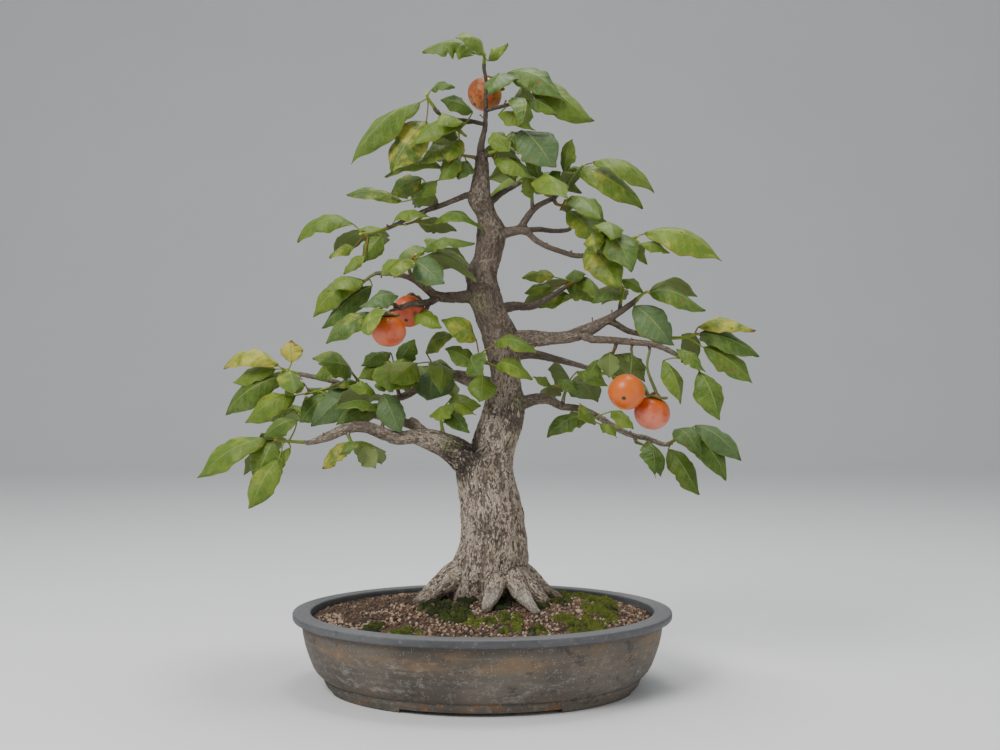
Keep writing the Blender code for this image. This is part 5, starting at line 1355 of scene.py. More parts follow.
gravel = Heap()
for row in range(int(2 * SOIL_RADIUS * POT_RATIO / ROW_PITCH) + 1):
    for column in range(int(2 * SOIL_RADIUS / GRAIN_PITCH) + 1):
        chance = random.Random(row * 1000 + column)
        x = -SOIL_RADIUS + (column + 0.5 * (row % 2)) * GRAIN_PITCH
        x += chance.uniform(-GRAIN_SHIFT, GRAIN_SHIFT)
        y = -SOIL_RADIUS * POT_RATIO + row * ROW_PITCH + chance.uniform(-GRAIN_SHIFT, GRAIN_SHIFT)
        size = chance.uniform(*GRAIN_SIZES) * (LARGE if chance.random() < LARGE_SHARE else 1)
        if math.hypot(x, y / POT_RATIO) > SOIL_RADIUS - EDGE_ROOM - size or in_moss(x, y) > BARE_IN_MOSS:
            continue
        z = soil_height(x, y) + size * chance.uniform(0.05, 0.45)
        if math.hypot(x, y) < ROOTS_WITHIN and near_wood(x, y, z, size * 0.7):
            continue
        humus = noise.noise(Vector((x, y, 70)) / 30.0) + (0.35 if x < -30 and y > -30 else 0.0)
        if humus > 0.25 and chance.random() < 0.6:
            continue
        pale = 0.45 if x < -95 and y < -20 else 0.0
        way = (chance.uniform(-1, 1), chance.uniform(-1, 1), chance.uniform(-1, 1.4))
        kind = min(0.92, chance.random() * (1 - pale) + pale) if humus < 0.25 else chance.random() * 0.5
        gravel.add(grit_points @ turned_to(way, chance.uniform(0, 6.3)).T * size + np.array((x, y, z)),
                   grit_faces, grit=(kind, chance.random(), chance.random()))
gravel = gravel.make("grit", smooth=False)
print("grit faces:", len(gravel.data.polygons))

# %% Grow the moss
BLADE_GAP = 1.15
BLADE_SINK = 0.4
BLADE_GIRTH = 0.8
BLADE_LENGTHS = (1.2, 2.6)
ABOVE_ALL = 140

dome_points, dome_faces = taken_from(added(bpy.ops.mesh.primitive_ico_sphere_add, subdivisions=2, radius=1))
moss = Heap()
for cx, cy, size, bright in clumps:
    if math.hypot(cx, cy / POT_RATIO) > SOIL_RADIUS - size:
        continue
    tall = size * chance.uniform(0.75, 1.15) + 1.0
    points = dome_points.copy()
    for point in points:
        lump = 1 + 0.45 * noise.noise(Vector((point[0] * 1.6 + cx, point[1] * 1.6, point[2] + cy)))
        x, y = cx + point[0] * size * lump, cy + point[1] * size * lump
        point[:] = (x, y, soil_height(x, y) - 0.8 + point[2] * (tall * lump if point[2] > 0 else 1.0))
    moss.add(points, dome_faces, moss=(0.0, bright, 0.3))
blade = np.array([(-0.42, -0.25, 0), (0.42, -0.25, 0), (0, 0.45, 0), (0.1, 0.1, 1)], float)
blade_faces = [(0, 2, 1), (0, 1, 3), (1, 2, 3), (2, 0, 3)]
moss_tree = BVHTree.FromPolygons([Vector(p) for p in np.concatenate(moss.points)], moss.faces)
for number, (cx, cy, size, bright) in enumerate(clumps):
    chance = random.Random(5000 + number)
    for _ in range(int(math.pi * size ** 2 / BLADE_GAP ** 2)):
        turn, out = chance.uniform(0, 2 * math.pi), math.sqrt(chance.random()) * 1.05
        x, y = cx + size * out * math.cos(turn), cy + size * out * math.sin(turn)
        hit, normal, *_ = moss_tree.ray_cast(Vector((x, y, ABOVE_ALL)), Vector((0, 0, -1)))
        if hit is None or near_wood(x, y, hit.z, 0.3):
            continue
        way = normal + Vector((chance.uniform(-0.6, 0.6), chance.uniform(-0.6, 0.6), 0.5))
        sized = blade * np.array([BLADE_GIRTH, BLADE_GIRTH, chance.uniform(*BLADE_LENGTHS)])
        tips = np.zeros((4, 3))
        tips[3, 0] = 1
        tips[:, 1] = bright + chance.uniform(-0.15, 0.15)
        tips[:, 2] = chance.random()
        foot = np.array(hit - way.normalized() * BLADE_SINK)
        moss.add(sized @ turned_to(way, chance.uniform(0, 6.3)).T + foot, blade_faces, moss=tips)
moss = moss.make("moss")
print("moss faces:", len(moss.data.polygons))

# %% Finishes for soil, grit and moss
earth = Finish("soil_under_the_grit")
spot = earth.place()
crumbs = earth.cells(spot, 420.0)
damp = earth.clouds(spot, 30.0, 4.0)
earth_colour = earth.layers(
    earth.mix(earth.step(damp, 0.35, 0.7), (0.036, 0.022, 0.014), (0.095, 0.058, 0.036)),
    (earth.step(earth.clouds(spot, 300.0), 0.55, 0.7), (0.17, 0.108, 0.07)))
paint(soil_bed, earth.finish(Base_Color=earth_colour, Roughness=earth.step(damp, 0.3, 0.7) * 0.1 + 0.85,
                             Normal=earth.bump(crumbs, 0.0015, 0.9)))
grit = Finish("fired_clay_and_pumice")
pick, light, rough = grit.split(grit.carried("grit"))
spot = grit.place()
pores = grit.clouds(spot, 900.0, 3.0, 0.7)
dust = grit.clouds(spot, 22.0, 3.0)
kinds = [(0.24, (0.2, 0.122, 0.078)), (0.44, (0.05, 0.031, 0.022)), (0.58, (0.32, 0.215, 0.14)),
         (0.7, (0.23, 0.095, 0.038)), (0.77, (0.48, 0.35, 0.24)), (0.915, (0.8, 0.73, 0.62)),
         (0.965, (0.09, 0.085, 0.08))]
stone_colour = grit.layers(
    (0.125, 0.078, 0.05),
    *[(grit.step(pick, start, start + 0.02), own_colour) for start, own_colour in kinds],
    (light * 0.12, (0.4, 0.3, 0.21)),
    (grit.step(pores, 0.5, 0.72) * 0.5, (0.075, 0.046, 0.03)),
    (grit.step(dust, 0.45, 0.68) * 0.35, (0.075, 0.047, 0.032)))
paint(gravel, grit.finish(Base_Color=stone_colour, Roughness=rough * 0.15 + 0.8,
                          Normal=grit.bump(pores, 0.0006, 0.8)))
green = Finish("moss")
tip, tint, dry = green.split(green.carried("moss"))
spot = green.place()
patch = green.clouds(spot, 45.0, 4.0)
fuzz = green.cells(spot, 900.0)
moss_colour = green.layers(
    green.mix(green.step(tint + (patch - 0.5) * 0.5, 0.0, 0.9), (0.018, 0.03, 0.008), (0.125, 0.16, 0.014)),
    (tip * (tint * 0.55 + 0.12), (0.38, 0.43, 0.045)),
    (green.step(patch, 0.58, 0.7) * 0.5, (0.055, 0.038, 0.018)),
    (green.step(dry, 0.86, 1.0) * 0.6, (0.3, 0.18, 0.085)))
paint(moss, green.finish(Base_Color=moss_colour, Roughness=green.step(fuzz, 0, 1) * 0.1 + 0.85,
                         Normal=green.bump(fuzz, 0.0012, 0.9)))
for piece in (soil_bed, gravel, moss):
    settle(piece)
    dress(piece, "soil", "soil")
only(soil_bed)
bpy.ops.object.shade_smooth()
print("soil nodes:", [len(finish.tree.nodes) for finish in (earth, grit, green)])

# %% [markdown]
# ## Leaves
# A persimmon leaf is a broad pointed oval, tough and glossy, with an edge that waves a little, a pale midrib
# and arched side veins. It hangs from a short stout stalk, slightly folded, and its tip hooks down. Every
# leaf is the same idea bent another way, so one flat blade is modelled, and each leaf lays it over its own
# curved surface, as its row in the table of the sprays says. In the blade's own coordinates u runs from stalk
# to tip and v from one edge to the other, and the veins are drawn in those.

# %% One flat blade, and one bud
BLADE_LONG = 26
BLADE_WIDE = 10
BLADE_THICK = 0.36


def flat_sheet(long, wide):
    """A thick flat sheet. For each point: how far along it lies, how far across, and on which face."""
    flat = added(bpy.ops.mesh.primitive_grid_add, x_subdivisions=long, y_subdivisions=wide, size=2)
    thicken = flat.modifiers.new("thicken", "SOLIDIFY")
    thicken.thickness = 1
    thicken.offset = 0
    apply_modifiers(flat)
    points, faces = taken_from(flat)
    return (points[:, 0] + 1) / 2, points[:, 1], np.sign(points[:, 2]), faces


blade_t, blade_c, blade_side, blade_faces = flat_sheet(BLADE_LONG, BLADE_WIDE)
print("blade faces:", len(blade_faces), "points:", len(blade_t))

bud = added(bpy.ops.mesh.primitive_uv_sphere_add, segments=6, ring_count=5, radius=1)
bud_points, bud_faces = taken_from(bud)
up = bud_points[:, 2]
bud_points[:, 2] = np.where(up > 0, np.abs(up) ** 0.8 * 1.5, up * 0.5)
bud_points[:, :2] *= (1 - 0.35 * np.clip(bud_points[:, 2:], 0, 1.5))
print("bud faces:", len(bud_faces))


# %% The surface that a leaf lies on
def unit(way):
    return way / np.linalg.norm(way)


class Leaf:
    """A leaf's curved surface. Each method takes arrays, with one value for each point of the blade."""

    def __init__(self, row, places, chance, bites):
        self.root = places[row[0]]
        self.base = self.root + np.array(row[1:4])
        self.tip = self.base + np.array(row[4:7])
        face, self.bow, self.width, fold, twist = row[7:]
        self.length = np.linalg.norm(self.tip - self.base)
        self.way = unit(self.tip - self.base)
        viewer = np.array((0, -1, 0), float)
        toward = unit(viewer - self.way * viewer.dot(self.way))
        above = np.cross(self.way, toward)
        if above[2] + 0.2 * above[0] * math.copysign(1, self.base[0]) < 0:
            above = -above
        self.upper = toward * math.cos(math.radians(face)) + above * math.sin(math.radians(face))
        self.side = np.cross(self.way, self.upper)
        self.fold, self.twist = math.radians(fold), math.radians(twist)
        self.waves = [chance.uniform(0, 6.3) for _ in range(4)]
        self.droop = chance.uniform(0.4, 1.0)
        self.hook = chance.uniform(-0.5, 1.0)
        self.skew = chance.uniform(-0.06, 0.06)
        self.curl = chance.uniform(0.4, 1.0) ** 2
        self.bites = bites or [
            (chance.uniform(0.2, 0.85), chance.choice((-1, 1)), chance.uniform(0, 0.24), 0.045)
            for _ in range(chance.choice((1, 2, 3)))]

    def rib(self, t):
        """Points of the midrib, which bows up and hooks down at the tip."""
        lift = self.bow * 4 * t * (1 - t) * (1.3 - 0.6 * t)
        end = np.clip((t - 0.84) / 0.16, 0, 1) ** 2
        hook = end * self.length * 0.030 * self.hook
        sway = end * self.length * self.skew
        line = self.base + t[:, None] * (self.tip - self.base)
        return line + self.upper * (lift - hook)[:, None] + self.side * sway[:, None]

    def frame(self, t):
        """At places of the midrib: the way on, the way to the side and the way up."""
        way = self.rib(np.minimum(t + 0.02, 1)) - self.rib(np.maximum(t - 0.02, 0))
        way /= np.linalg.norm(way, axis=1)[:, None]
        upper = np.cross(self.side, way)
        turned = (self.twist * (t - 0.3))[:, None]
        side = self.side * np.cos(turned) + upper * np.sin(turned)
        return way, side, np.cross(side, way)

    def half_width(self, t):
        t = np.clip(t, 0.0, 1.0)
        rounded = np.sin(np.pi * t ** 0.86).clip(0) ** 0.64
        drawn_in = 1 - 0.36 * np.clip((t - 0.72) / 0.28, 0, 1) ** 1.2
        pointed = 1 - 0.20 * np.exp(-((t - 0.93) / 0.05) ** 2)
        return np.maximum(self.width / 2 * rounded * drawn_in * pointed, 0.45 - 0.25 * t)

    def surface(self, t, c):
        """Points of the middle surface, and the way its upper side faces there."""
        _, side, upper = self.frame(t)
        reach = self.half_width(t)
        a, b, d, e = self.waves
        rim = 2.0 * np.sign(c)
        edge = 1 + (0.045 * np.sin(11 * t + a + rim) + 0.030 * np.sin(27 * t + b - rim)) * np.abs(c) ** 2
        for at, bitten, deep, wide in self.bites:
            edge *= 1 - deep * np.exp(-((t - at) / wide) ** 2) * (np.sign(c) == bitten)
        half = reach * c * edge
        lift = np.abs(half) * math.sin(self.fold)
        cup = -self.droop * 0.17 * reach * np.abs(c) ** 3
        ripple = 1.9 * c * c * np.sin(8 * t + 2.4 * c + self.length)
        middle = np.sin(np.pi * t)
        ruffle = 1.3 * self.curl * np.abs(c) ** 2.3 * np.sin(20 * t + d + 1.5 * np.sign(c)) * middle
        quilt = 0.13 * np.sin(2 * np.pi * (8.0 * t - 1.5 * np.abs(c) + e)) * (1 - c * c) * middle
        points = self.rib(t) + side * (half * math.cos(self.fold))[:, None]
        points += upper * (lift + cup + ripple + ruffle + quilt)[:, None]
        return points, upper

    def blade(self):
        """The flat blade's points, laid on the surface, with the midrib standing out below."""
        points, upper = self.surface(blade_t, blade_c)
        midrib = 0.22 * np.exp(-(blade_c / 0.12) ** 2) * (blade_side < 0)
        thick = BLADE_THICK / 2 * (1 - 0.5 * np.abs(blade_c) ** 4) + midrib
        return points + upper * (blade_side * thick)[:, None]

    def stalk(self):
        """The stalk's line, as rows of x, y, z and radius: out of the twig, then along into the blade."""
        way = self.frame(np.array([0.0]))[0][0]
        reach = np.linalg.norm(self.base - self.root)
        out = unit(self.base - self.root)
        bend = self.root + out * reach * 0.45 - way * reach * 0.10 + np.array((0, 0, reach * 0.06))
        into = self.base + way * min(4.0, self.length * 0.08)
        return smooth_path([(*self.root, 1.25), (*bend, 1.0), (*self.base, 0.85), (*into, 0.4)], 1.8)


print("each leaf is laid out with", [step for step in vars(Leaf) if not step.startswith("_")])

# %% What single leaves look like: tint, age and blemishes, where they differ from the rest
LOOKS = {
    ("behind_left_end", 0): (1.0, 0.62, 0.2), ("behind_left_end", 3): (0.35, 0.75, 0.9),
    ("mid_right_far", 0): (0.65, 0.55, 0.8), ("behind_left_inner", 0): (0.05, 0.05, 0.3),
    ("mid_right_tip", 1): (0.08, 0.05, 0.3), ("trunk_top_right", 0): (0.1, 0.05, 0.3),
    ("mid_left_up", 1): (0.05, 0.05, 0.2), ("mid_left_low", 1): (0.12, 0.0, 0.1),
    ("behind_left_up", 1): (0.12, 0.0, 0.2), ("low_left_top", 0): (0.1, 0.0, 0.2),
    ("low_right_end", 1): (0.12, 0.1, 0.2), ("fork_end", 0): (0.95, 0.3, 0.75),
    ("top", 0): (0.45, 0.15, 0.6), ("top_left", 0): (0.5, 0.1, 0.3), ("high_left_end", 0): (0.55, 0.15, 0.4),
    ("low_left_end", 1): (0.6, 0.25, 0.5), ("top_right", 1): (0.6, 0.2, 0.5),
    ("high_up_end", 0): (0.55, 0.2, 0.5),
}
# Bites: how far along the blade, which edge, how deep and how wide, as shares of the blade.
BITES = {("top", 0): [(0.4, -1, 0.6, 0.05), (0.58, -1, 0.45, 0.04), (0.8, -1, 0.3, 0.05)],
         ("behind_left_end", 0): [(0.6, 1, 0.5, 0.07)], ("mid_right_far", 0): [(0.75, -1, 0.45, 0.07)],
         ("high_left_end", 0): [(0.7, -1, 0.35, 0.06)]}
print("leaves with a look of their own:", len(LOOKS), "with drawn bites:", len(BITES))

# %% Grow every spray
TWIG_TIP = 1.3
TWIG_STEP = 1.6
TWIG_SWELL = 0.35
STALK_STEP = 3.2
END_BUD = 2.0
SIDE_BUD = 1.15
BLADE_PART, SHOOT_PART = 0, 1
PLAIN = dict(UVMap=(0, 0), under=(0, 0, 0))


def stalk_places(route):
    """The places along a twig that a leaf's stalk can grow from."""
    points = [np.array(seen(*p)) for p in route[1:]]
    places = []
    for a, b in zip(points, points[1:]):
        count = max(2, round(np.linalg.norm(b - a) / STALK_STEP))
        places += [a + (b - a) * (k + 0.5) / count for k in range(count)]
    return places


sprays = {}
for number, (name, (branch, at, route, leaves)) in enumerate(SPRAYS.items()):
    chance = random.Random(4000 + number)
    places = stalk_places(route)
    heap = Heap()
    line = smooth_path([(*seen(*p), TWIG_RADIUS + (TWIG_TIP - TWIG_RADIUS) * k / (len(route) - 1))
                        for k, p in enumerate(route)], TWIG_STEP)
    for leaf in leaves:
        near = np.exp(-(np.linalg.norm(line[:, :3] - places[leaf[0]], axis=1) / TWIG_STEP) ** 2)
        line[:, 3] = np.maximum(line[:, 3], 1.35 + TWIG_SWELL * near)
    points, faces = tube_for_heap(line, 2)
    tone = chance.random()
    heap.add(points, faces, SHOOT_PART, look=(tone, 0.0, chance.random()), **PLAIN)
    end_way = line[-1, :3] - line[-3, :3]
    heap.add(bud_points @ turned_to(end_way).T * END_BUD + line[-1, :3], bud_faces, SHOOT_PART,
             look=(tone, 1.0, chance.random()), **PLAIN)
    for k, row in enumerate(leaves):
        leaf = Leaf(row, places, chance, BITES.get((name, k)))
        usual = (chance.uniform(0.15, 0.85), max(0.0, chance.gauss(0.12, 0.16)), chance.uniform(0, 0.75))
        look = LOOKS.get((name, k), usual)
        points, faces = tube_for_heap(leaf.stalk(), 1)
        heap.add(points, faces, SHOOT_PART, look=(tone, 0.35, chance.random()), **PLAIN)
        under = columns(blade_side < 0, leaf.length / 100, chance.random())
        heap.add(leaf.blade(), blade_faces, BLADE_PART, look=look, under=under,
                 UVMap=columns(blade_t, (blade_c + 1) / 2))
        axil = leaf.root + unit(leaf.base - leaf.root) * 1.2 + unit(end_way) * 1.6
        heap.add(bud_points @ turned_to(leaf.base - leaf.root + end_way).T * SIDE_BUD + axil, bud_faces,
                 SHOOT_PART, look=(tone, 0.9, chance.random()), **PLAIN)
    piece = heap.make("spray_" + name)
    settle(piece)
    dress(piece, "leaf", "leaves_" + name)
    sprays[name] = piece
print("sprays:", len(sprays), "faces:", sum(len(s.data.polygons) for s in sprays.values()))

# %% Leaf finish
leafy = Finish("persimmon_leaf")
u, v, _ = leafy.split(leafy.node("UVMap", {}, "UV", uv_map="UVMap"))
tint, age, blemish = leafy.split(leafy.carried("look"))
under, long, own = leafy.split(leafy.carried("under"))
spot = leafy.place()
off = abs(v - 0.5) * 2.0
side_shift = leafy.step(v, 0.499, 0.501) * 0.5
midrib = leafy.step(off, 0.085 - u * 0.045, 0.025 - u * 0.015)
row_of_veins = (u - off ** 0.82 * 0.17) * 8.6 + side_shift
from_vein = abs((row_of_veins + 0.5).fraction() - 0.5)
veins = leafy.step(from_vein, 0.085, 0.02) * leafy.step(off, 0.97, 0.8) * leafy.step(u, 0.02, 0.1)
sheet = leafy.joined(u * long * 100.0, v * long * 52.0 + own * 40.0, own * 9.0)
net = leafy.cells(sheet, 0.42, "Distance", "DISTANCE_TO_EDGE")
net_line = leafy.step(net, 0.1, 0.02)
cloud = leafy.clouds(sheet, 0.055, 4.0, 0.6)
fine = leafy.clouds(sheet, 0.9, 3.0, 0.6)
deep = leafy.mix(leafy.step(cloud, 0.3, 0.7), (0.03, 0.08, 0.006), (0.062, 0.132, 0.011))
fresh = leafy.mix(leafy.step(cloud, 0.3, 0.7), (0.105, 0.185, 0.008), (0.19, 0.27, 0.014))
# Painted sheen: pale grey-green patches stand in for the glossy leaf's reflection, and are also made rougher.
bloom_and_painted_sheen = leafy.step(leafy.clouds(sheet, 0.11, 3.0), 0.45, 0.72) * (0.24 - tint * 0.16)
margin = leafy.step(off + (cloud - 0.5) * 0.5, 0.8, 1.02)
vein_share = (midrib * 0.5).larger(veins * 0.16).larger(net_line * 0.1)
speckled = leafy.step(leafy.clouds(sheet, 0.2, 2.0), 0.5, 0.62)
specks = leafy.step(leafy.cells(sheet, 0.62), 0.22, 0.1) * speckled
mottle = leafy.step(fine, 0.44, 0.64) * leafy.step(leafy.clouds(sheet, 0.09, 2.0), 0.38, 0.62)
burnt_tip = leafy.step(u + (cloud - 0.5) * 0.34 + blemish * 0.10 + age * 0.12, 1.02, 1.12)
burnt_edge = leafy.step(off + (fine - 0.5) * 0.6 + blemish * 0.26, 1.14, 1.24)
dots = leafy.step(leafy.cells(sheet, 0.115), 0.30 + blemish * 0.02, 0.17)
dots = dots * leafy.step(leafy.clouds(sheet, 0.045, 2.0), 0.66 - blemish * 0.18, 0.72 - blemish * 0.16)
burnt = burnt_tip.larger(burnt_edge * 0.85).larger(dots * 0.85)
burnt_colour = leafy.mix(leafy.step(fine, 0.3, 0.7), (0.095, 0.04, 0.016), (0.33, 0.15, 0.045))
pale = leafy.layers(
    leafy.mix(vein_share, (0.125, 0.185, 0.045), (0.32, 0.38, 0.12)),
    (tint * 0.4 + age * 0.3, (0.3, 0.32, 0.12)),
    (burnt * 0.8, burnt_colour))
colour = leafy.layers(
    leafy.mix(leafy.step(tint, 0.0, 1.0), deep, fresh),
    (leafy.step(tint, 0.17, 0.1) * 0.7, (0.095, 0.165, 0.07)),
    # the painted sheen patches
    (bloom_and_painted_sheen, (0.17, 0.235, 0.105)),
    (margin * (0.22 + age * 0.5), (0.32, 0.34, 0.018)),
    (leafy.step(cloud + age * 0.75, 0.72, 1.10), (0.52, 0.46, 0.06)),
    (vein_share, (0.36, 0.42, 0.13)),
    (specks * 0.6, (0.54, 0.58, 0.44)),
    (mottle * 0.3, (0.3, 0.38, 0.09)),
    (burnt, burnt_colour),
    (under, pale))
height = fine * 0.14 - net_line * 0.14 - veins * 0.20 - midrib * 0.6 + leafy.step(from_vein, 0.0, 0.5) * 0.16
leafy.finish(
    Base_Color=colour,
    Roughness=leafy.step(fine, 0.2, 0.8) * 0.12 + 0.33 + under * 0.30 + burnt * 0.3 + bloom_and_painted_sheen * 0.35,
    Normal=leafy.bump(height * (1.0 - under * 1.7), 0.0011, 0.8))
leafy.shader.inputs["Specular IOR Level"].default_value = 0.30
print("leaf nodes:", len(leafy.tree.nodes))

# %% Shoot finish
shoot = Finish("young_shoot")
tone, swell, own = shoot.split(shoot.carried("look"))
spot = shoot.place()
skin = shoot.clouds(spot, 260.0, 4.0)
dots = shoot.step(shoot.cells(spot, 420.0), 0.28, 0.14)
is_stalk = shoot.step(swell, 0.2, 0.3) * shoot.step(swell, 0.8, 0.5)
stalk_red = shoot.step(own + (skin - 0.5) * 0.6, 0.35, 0.85)
shoot_colour = shoot.layers(
    shoot.mix(shoot.step(tone + (skin - 0.5) * 0.5, 0.15, 0.6), (0.21, 0.2, 0.065), (0.23, 0.105, 0.05)),
    (is_stalk, shoot.mix(stalk_red, (0.4, 0.41, 0.11), (0.42, 0.19, 0.085))),
    (shoot.step(swell, 0.75, 0.85), shoot.mix(own, (0.4, 0.37, 0.15), (0.33, 0.19, 0.085))),
    (dots * 0.4, (0.46, 0.38, 0.25)))
shoot.finish(Base_Color=shoot_colour, Roughness=shoot.step(skin, 0.3, 0.7) * 0.15 + 0.45,
             Normal=shoot.bump(skin, 0.0007, 0.6))
for piece in sprays.values():
    paint(piece, leafy.material, shoot.material)
print("shoot nodes:", len(shoot.tree.nodes))

# %% [markdown]
# ## Fruits
# The fruits are squat balls with faint shoulders, a shallow dip under the calyx and a small dark point where
# the flower was. Their skin is smooth and waxy, with a pale bloom that dulls the shine. Each ring of a round
# ball is set to the fruit's own outline. The calyx is four leathery lobes that curl up, on a woody stalk.

# %% The outline of a fruit, from the dip under the calyx to the blossom end
FRUIT_OUTLINE = [
    (0, 0.8), (0.16, 0.82), (0.34, 0.845), (0.52, 0.8), (0.7, 0.68), (0.85, 0.49), (0.96, 0.22), (1.0, -0.02),
    (0.965, -0.27), (0.86, -0.51), (0.7, -0.71), (0.5, -0.86), (0.28, -0.945), (0.1, -0.965), (0, -0.955),
]
# Redness, bloom, green and scabs of each fruit.
FRUIT_LOOKS = [(0.05, 0.08, 0.0, 0.15), (0.75, 1.0, 0.0, 0.1), (0.6, 0.6, 0.0, 0.1), (0.6, 0.4, 0.0, 0.1),
               (0.5, 0.2, 0.6, 1.0)]
outline = smooth_path([(r, 0, z) for r, z in FRUIT_OUTLINE], 0.02)
print("outline points:", len(outline))

# %% Five fruits
FRUIT_RINGS = 48
FRUIT_SIDES = 64
SHOULDERS = 0.012
DENTS = 0.010
DENT_SIZE = 14

fruit_pieces = []
for number, (x, z, depth, radius, share, axis, *_) in enumerate(FRUITS, 1):
    ball = added(bpy.ops.mesh.primitive_uv_sphere_add, segments=FRUIT_SIDES, ring_count=FRUIT_RINGS, radius=1)
    ball.name = f"persimmon_{number}"
    points = mesh_values(ball)
    level = np.arccos(np.clip(points[:, 2], -1, 1)) / np.pi
    place_on = level * (len(outline) - 1)
    r = np.interp(place_on, np.arange(len(outline)), outline[:, 0].clip(0))
    h = np.interp(place_on, np.arange(len(outline)), outline[:, 2])
    angle = np.arctan2(points[:, 1], points[:, 0])
    shoulders = 1 + SHOULDERS * np.cos(4 * angle + 0.6) * r
    shaped = columns(r * np.cos(angle) * shoulders, r * np.sin(angle) * shoulders, h * share) * radius
    shaped = np.array([p * (1 + DENTS * noise.noise(Vector(p) / DENT_SIZE + Vector((number * 7, 0, 0))))
                       for p in shaped])
    move_points(ball, (shaped @ turned_to(axis).T + np.array(seen(x, z, depth))) * MM)
    redness, bloom_and_painted_sheen, greenness, scabs = FRUIT_LOOKS[number - 1]
    carry(ball, "skin", columns(level, redness, bloom_and_painted_sheen))
    carry(ball, "marks", columns(greenness, scabs, level))
    settle(ball)
    bpy.ops.object.shade_smooth()
    dress(ball, "fruit", f"fruit_{number}")
    fruit_pieces.append(ball)
print("fruits:", [[round(v / MM) for v in ball.dimensions] for ball in fruit_pieces])

# %% Skin of the fruit
waxy = Finish("persimmon_skin")
level, red, bloom_and_painted_sheen = waxy.split(waxy.carried("skin"))
green, scab, _ = waxy.split(waxy.carried("marks"))
spot = waxy.place()
wide = waxy.clouds(spot, 42.0, 3.0)
fine = waxy.clouds(spot, 420.0, 4.0, 0.6)
patches = waxy.clouds(spot, 90.0, 4.0, 0.6)
flecks = waxy.step(waxy.cells(spot, 620.0), 0.2, 0.08)
# On the fruit the bloom is the skin's own pale waxy coat, duller and pinker on the lower part.
dull = waxy.step(waxy.clouds(spot, 60.0, 5.0, 0.62) + level * 0.25, 0.46, 0.72)
dull = dull * waxy.step(level, 0.25, 0.6) * bloom_and_painted_sheen
scabs = waxy.step(waxy.clouds(spot, 150.0, 6.0, 0.75) + scab * 0.1, 0.62, 0.7) * waxy.step(scab, 0.3, 0.9)
skin = waxy.layers(
    waxy.mix(waxy.step(wide + (red - 0.5) * 0.7, 0.2, 0.8), (0.68, 0.135, 0.004), (0.54, 0.046, 0.005)),
    (waxy.step(level, 0.55, 0.12) * (0.75 - red * 0.6), (0.8, 0.27, 0.012)),
    (waxy.step(patches + green * 0.3, 0.58, 0.86) * green, (0.36, 0.38, 0.05)),
    (flecks * 0.22, (0.85, 0.42, 0.08)),
    (dull * 0.62, (0.78, 0.31, 0.21)),
    (scabs * 0.85, (0.17, 0.075, 0.03)),
    (waxy.step(level + (fine - 0.5) * 0.03, 0.952, 0.972), (0.035, 0.02, 0.012)))
waxy.finish(
    Base_Color=skin,
    Roughness=waxy.step(fine, 0.2, 0.8) * 0.06 + 0.30 + dull * 0.35 + scabs * 0.3,
    Normal=waxy.bump(fine * 0.5 + scabs * 1.2, 0.0003, 0.6))
waxy.shader.inputs["Subsurface Weight"].default_value = 0.12
waxy.shader.inputs["Subsurface Radius"].default_value = (0.006, 0.002, 0.0008)
for ball in fruit_pieces:
    paint(ball, waxy.material)
print("skin nodes:", len(waxy.tree.nodes))

# %% Calyx and stalk
LOBES = 4
LOBE_LONG = 12
LOBE_WIDE = 10
FRUIT_TOP = 0.86
SEAT_GAP = 0.3
CALYX_THICK = 1.2
CALYX_REACH = 0.66

lobe_t, lobe_c, lobe_side, lobe_faces = flat_sheet(LOBE_LONG, LOBE_WIDE)


def stalk_line(fruit):
    """The stalk's line from its spur to the middle of the calyx."""
    x, z, depth, radius, share, axis, branch, at, route = fruit
    way = np.array(Vector(axis).normalized())
    plate = np.array(seen(x, z, depth)) + way * (FRUIT_TOP * radius * share + SEAT_GAP + CALYX_THICK * 0.6)
    foot = np.array(seen(*route[0]))
    start = unit(foot - np.array(point_in_wood(branch, at)))
    line = [foot + start * 0.3] + [np.array(seen(*p)) for p in route[1:]] + [plate + way * 4, plate]
    return [(*p, STALK_RADIUS * (1.0 + 0.35 * (k >= len(line) - 2))) for k, p in enumerate(line)]


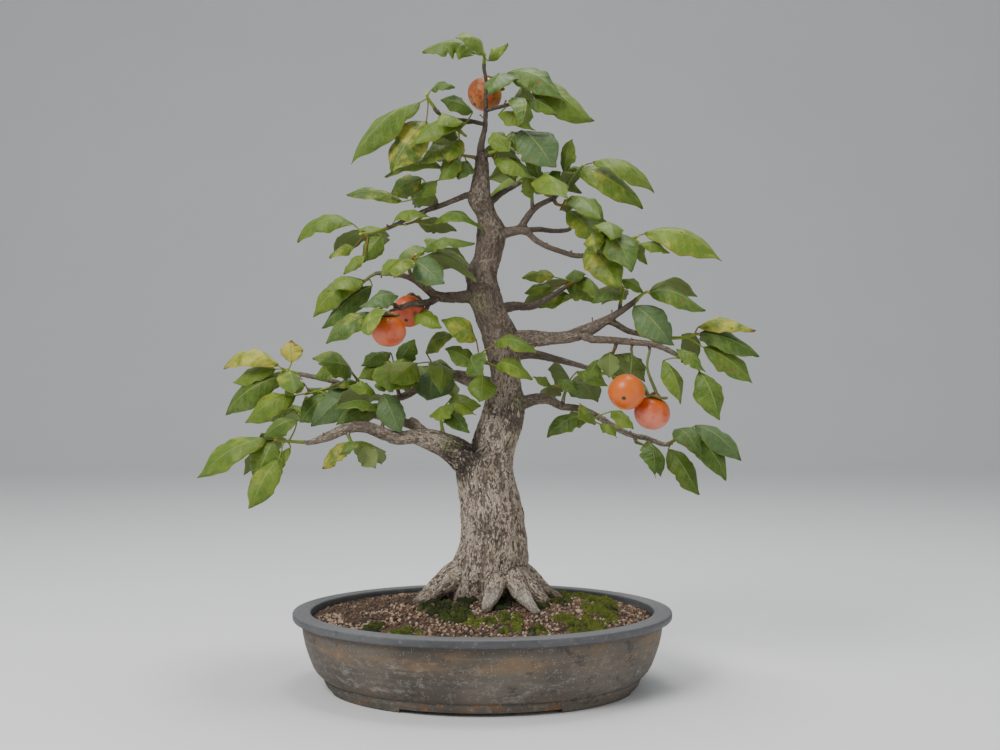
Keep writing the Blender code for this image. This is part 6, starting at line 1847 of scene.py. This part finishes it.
calyxes = []
for number, fruit in enumerate(FRUITS, 1):
    x, z, depth, radius, share, axis = fruit[:6]
    chance = random.Random(70 + number)
    turn = turned_to(axis)
    middle = np.array(seen(x, z, depth))
    heap = Heap()
    seat = FRUIT_TOP * radius * share + SEAT_GAP
    for k in range(LOBES):
        angle = k * 2 * math.pi / LOBES
        curl = chance.uniform(2.4, 5.2)
        wide = radius * CALYX_REACH * 0.62 * np.sin(np.pi * (0.24 + 0.76 * lobe_t).clip(0, 0.995)) ** 0.7
        along = lobe_t * radius * CALYX_REACH * chance.uniform(0.94, 1.05)
        across = lobe_c * np.maximum(wide, 0.3)
        wave = 1.3 * np.sin(7 * lobe_t + 3 * lobe_c + chance.uniform(0, 6)) * np.abs(lobe_c)
        rise = seat + 0.5 - 1.4 * lobe_t + curl * lobe_t ** 2.8 + 2.4 * lobe_c ** 2 * lobe_t + wave * 0.5
        rise = np.maximum(rise, seat + 0.1 - 0.02 * radius) + lobe_side * 0.3
        points = columns(along * math.cos(angle) - across * math.sin(angle),
                         along * math.sin(angle) + across * math.cos(angle), rise)
        look = columns(lobe_t, np.abs(lobe_c), chance.random())
        heap.add(points @ turn.T + middle, lobe_faces, calyx=look)
    points, faces = tube_for_heap(smooth_path(stalk_line(fruit), 1.5), 3)
    heap.add(points, faces, calyx=(0.0, 0.5, 0.9))
    made = heap.make(f"calyx_and_stalk_{number}")
    settle(made)
    dress(made, "calyx", f"calyx_{number}")
    calyxes.append(made)
print("calyxes:", [len(made.data.polygons) for made in calyxes])

# %% Leathery calyx
cap = Finish("calyx_and_stalk")
out, edge, own = cap.split(cap.carried("calyx"))
spot = cap.place()
patchy = cap.clouds(spot, 130.0, 4.0, 0.6)
fibre = cap.clouds(spot, 480.0, 3.0)
dry = cap.step(out + edge * 0.3 + (patchy - 0.5) * 0.6 + own * 0.25, 1.00, 1.30)
colour = cap.layers(
    cap.mix(cap.step(patchy, 0.35, 0.7), (0.085, 0.125, 0.022), (0.19, 0.205, 0.055)),
    (dry, (0.27, 0.125, 0.05)),
    (cap.step(fibre, 0.5, 0.75) * 0.35, (0.3, 0.27, 0.13)))
cap.finish(Base_Color=colour, Roughness=cap.step(fibre, 0.2, 0.8) * 0.15 + 0.55,
                Normal=cap.bump(fibre + patchy, 0.0006, 0.7))
for made in calyxes:
    paint(made, cap.material)
print("calyx nodes:", len(cap.tree.nodes))

# %% [markdown]
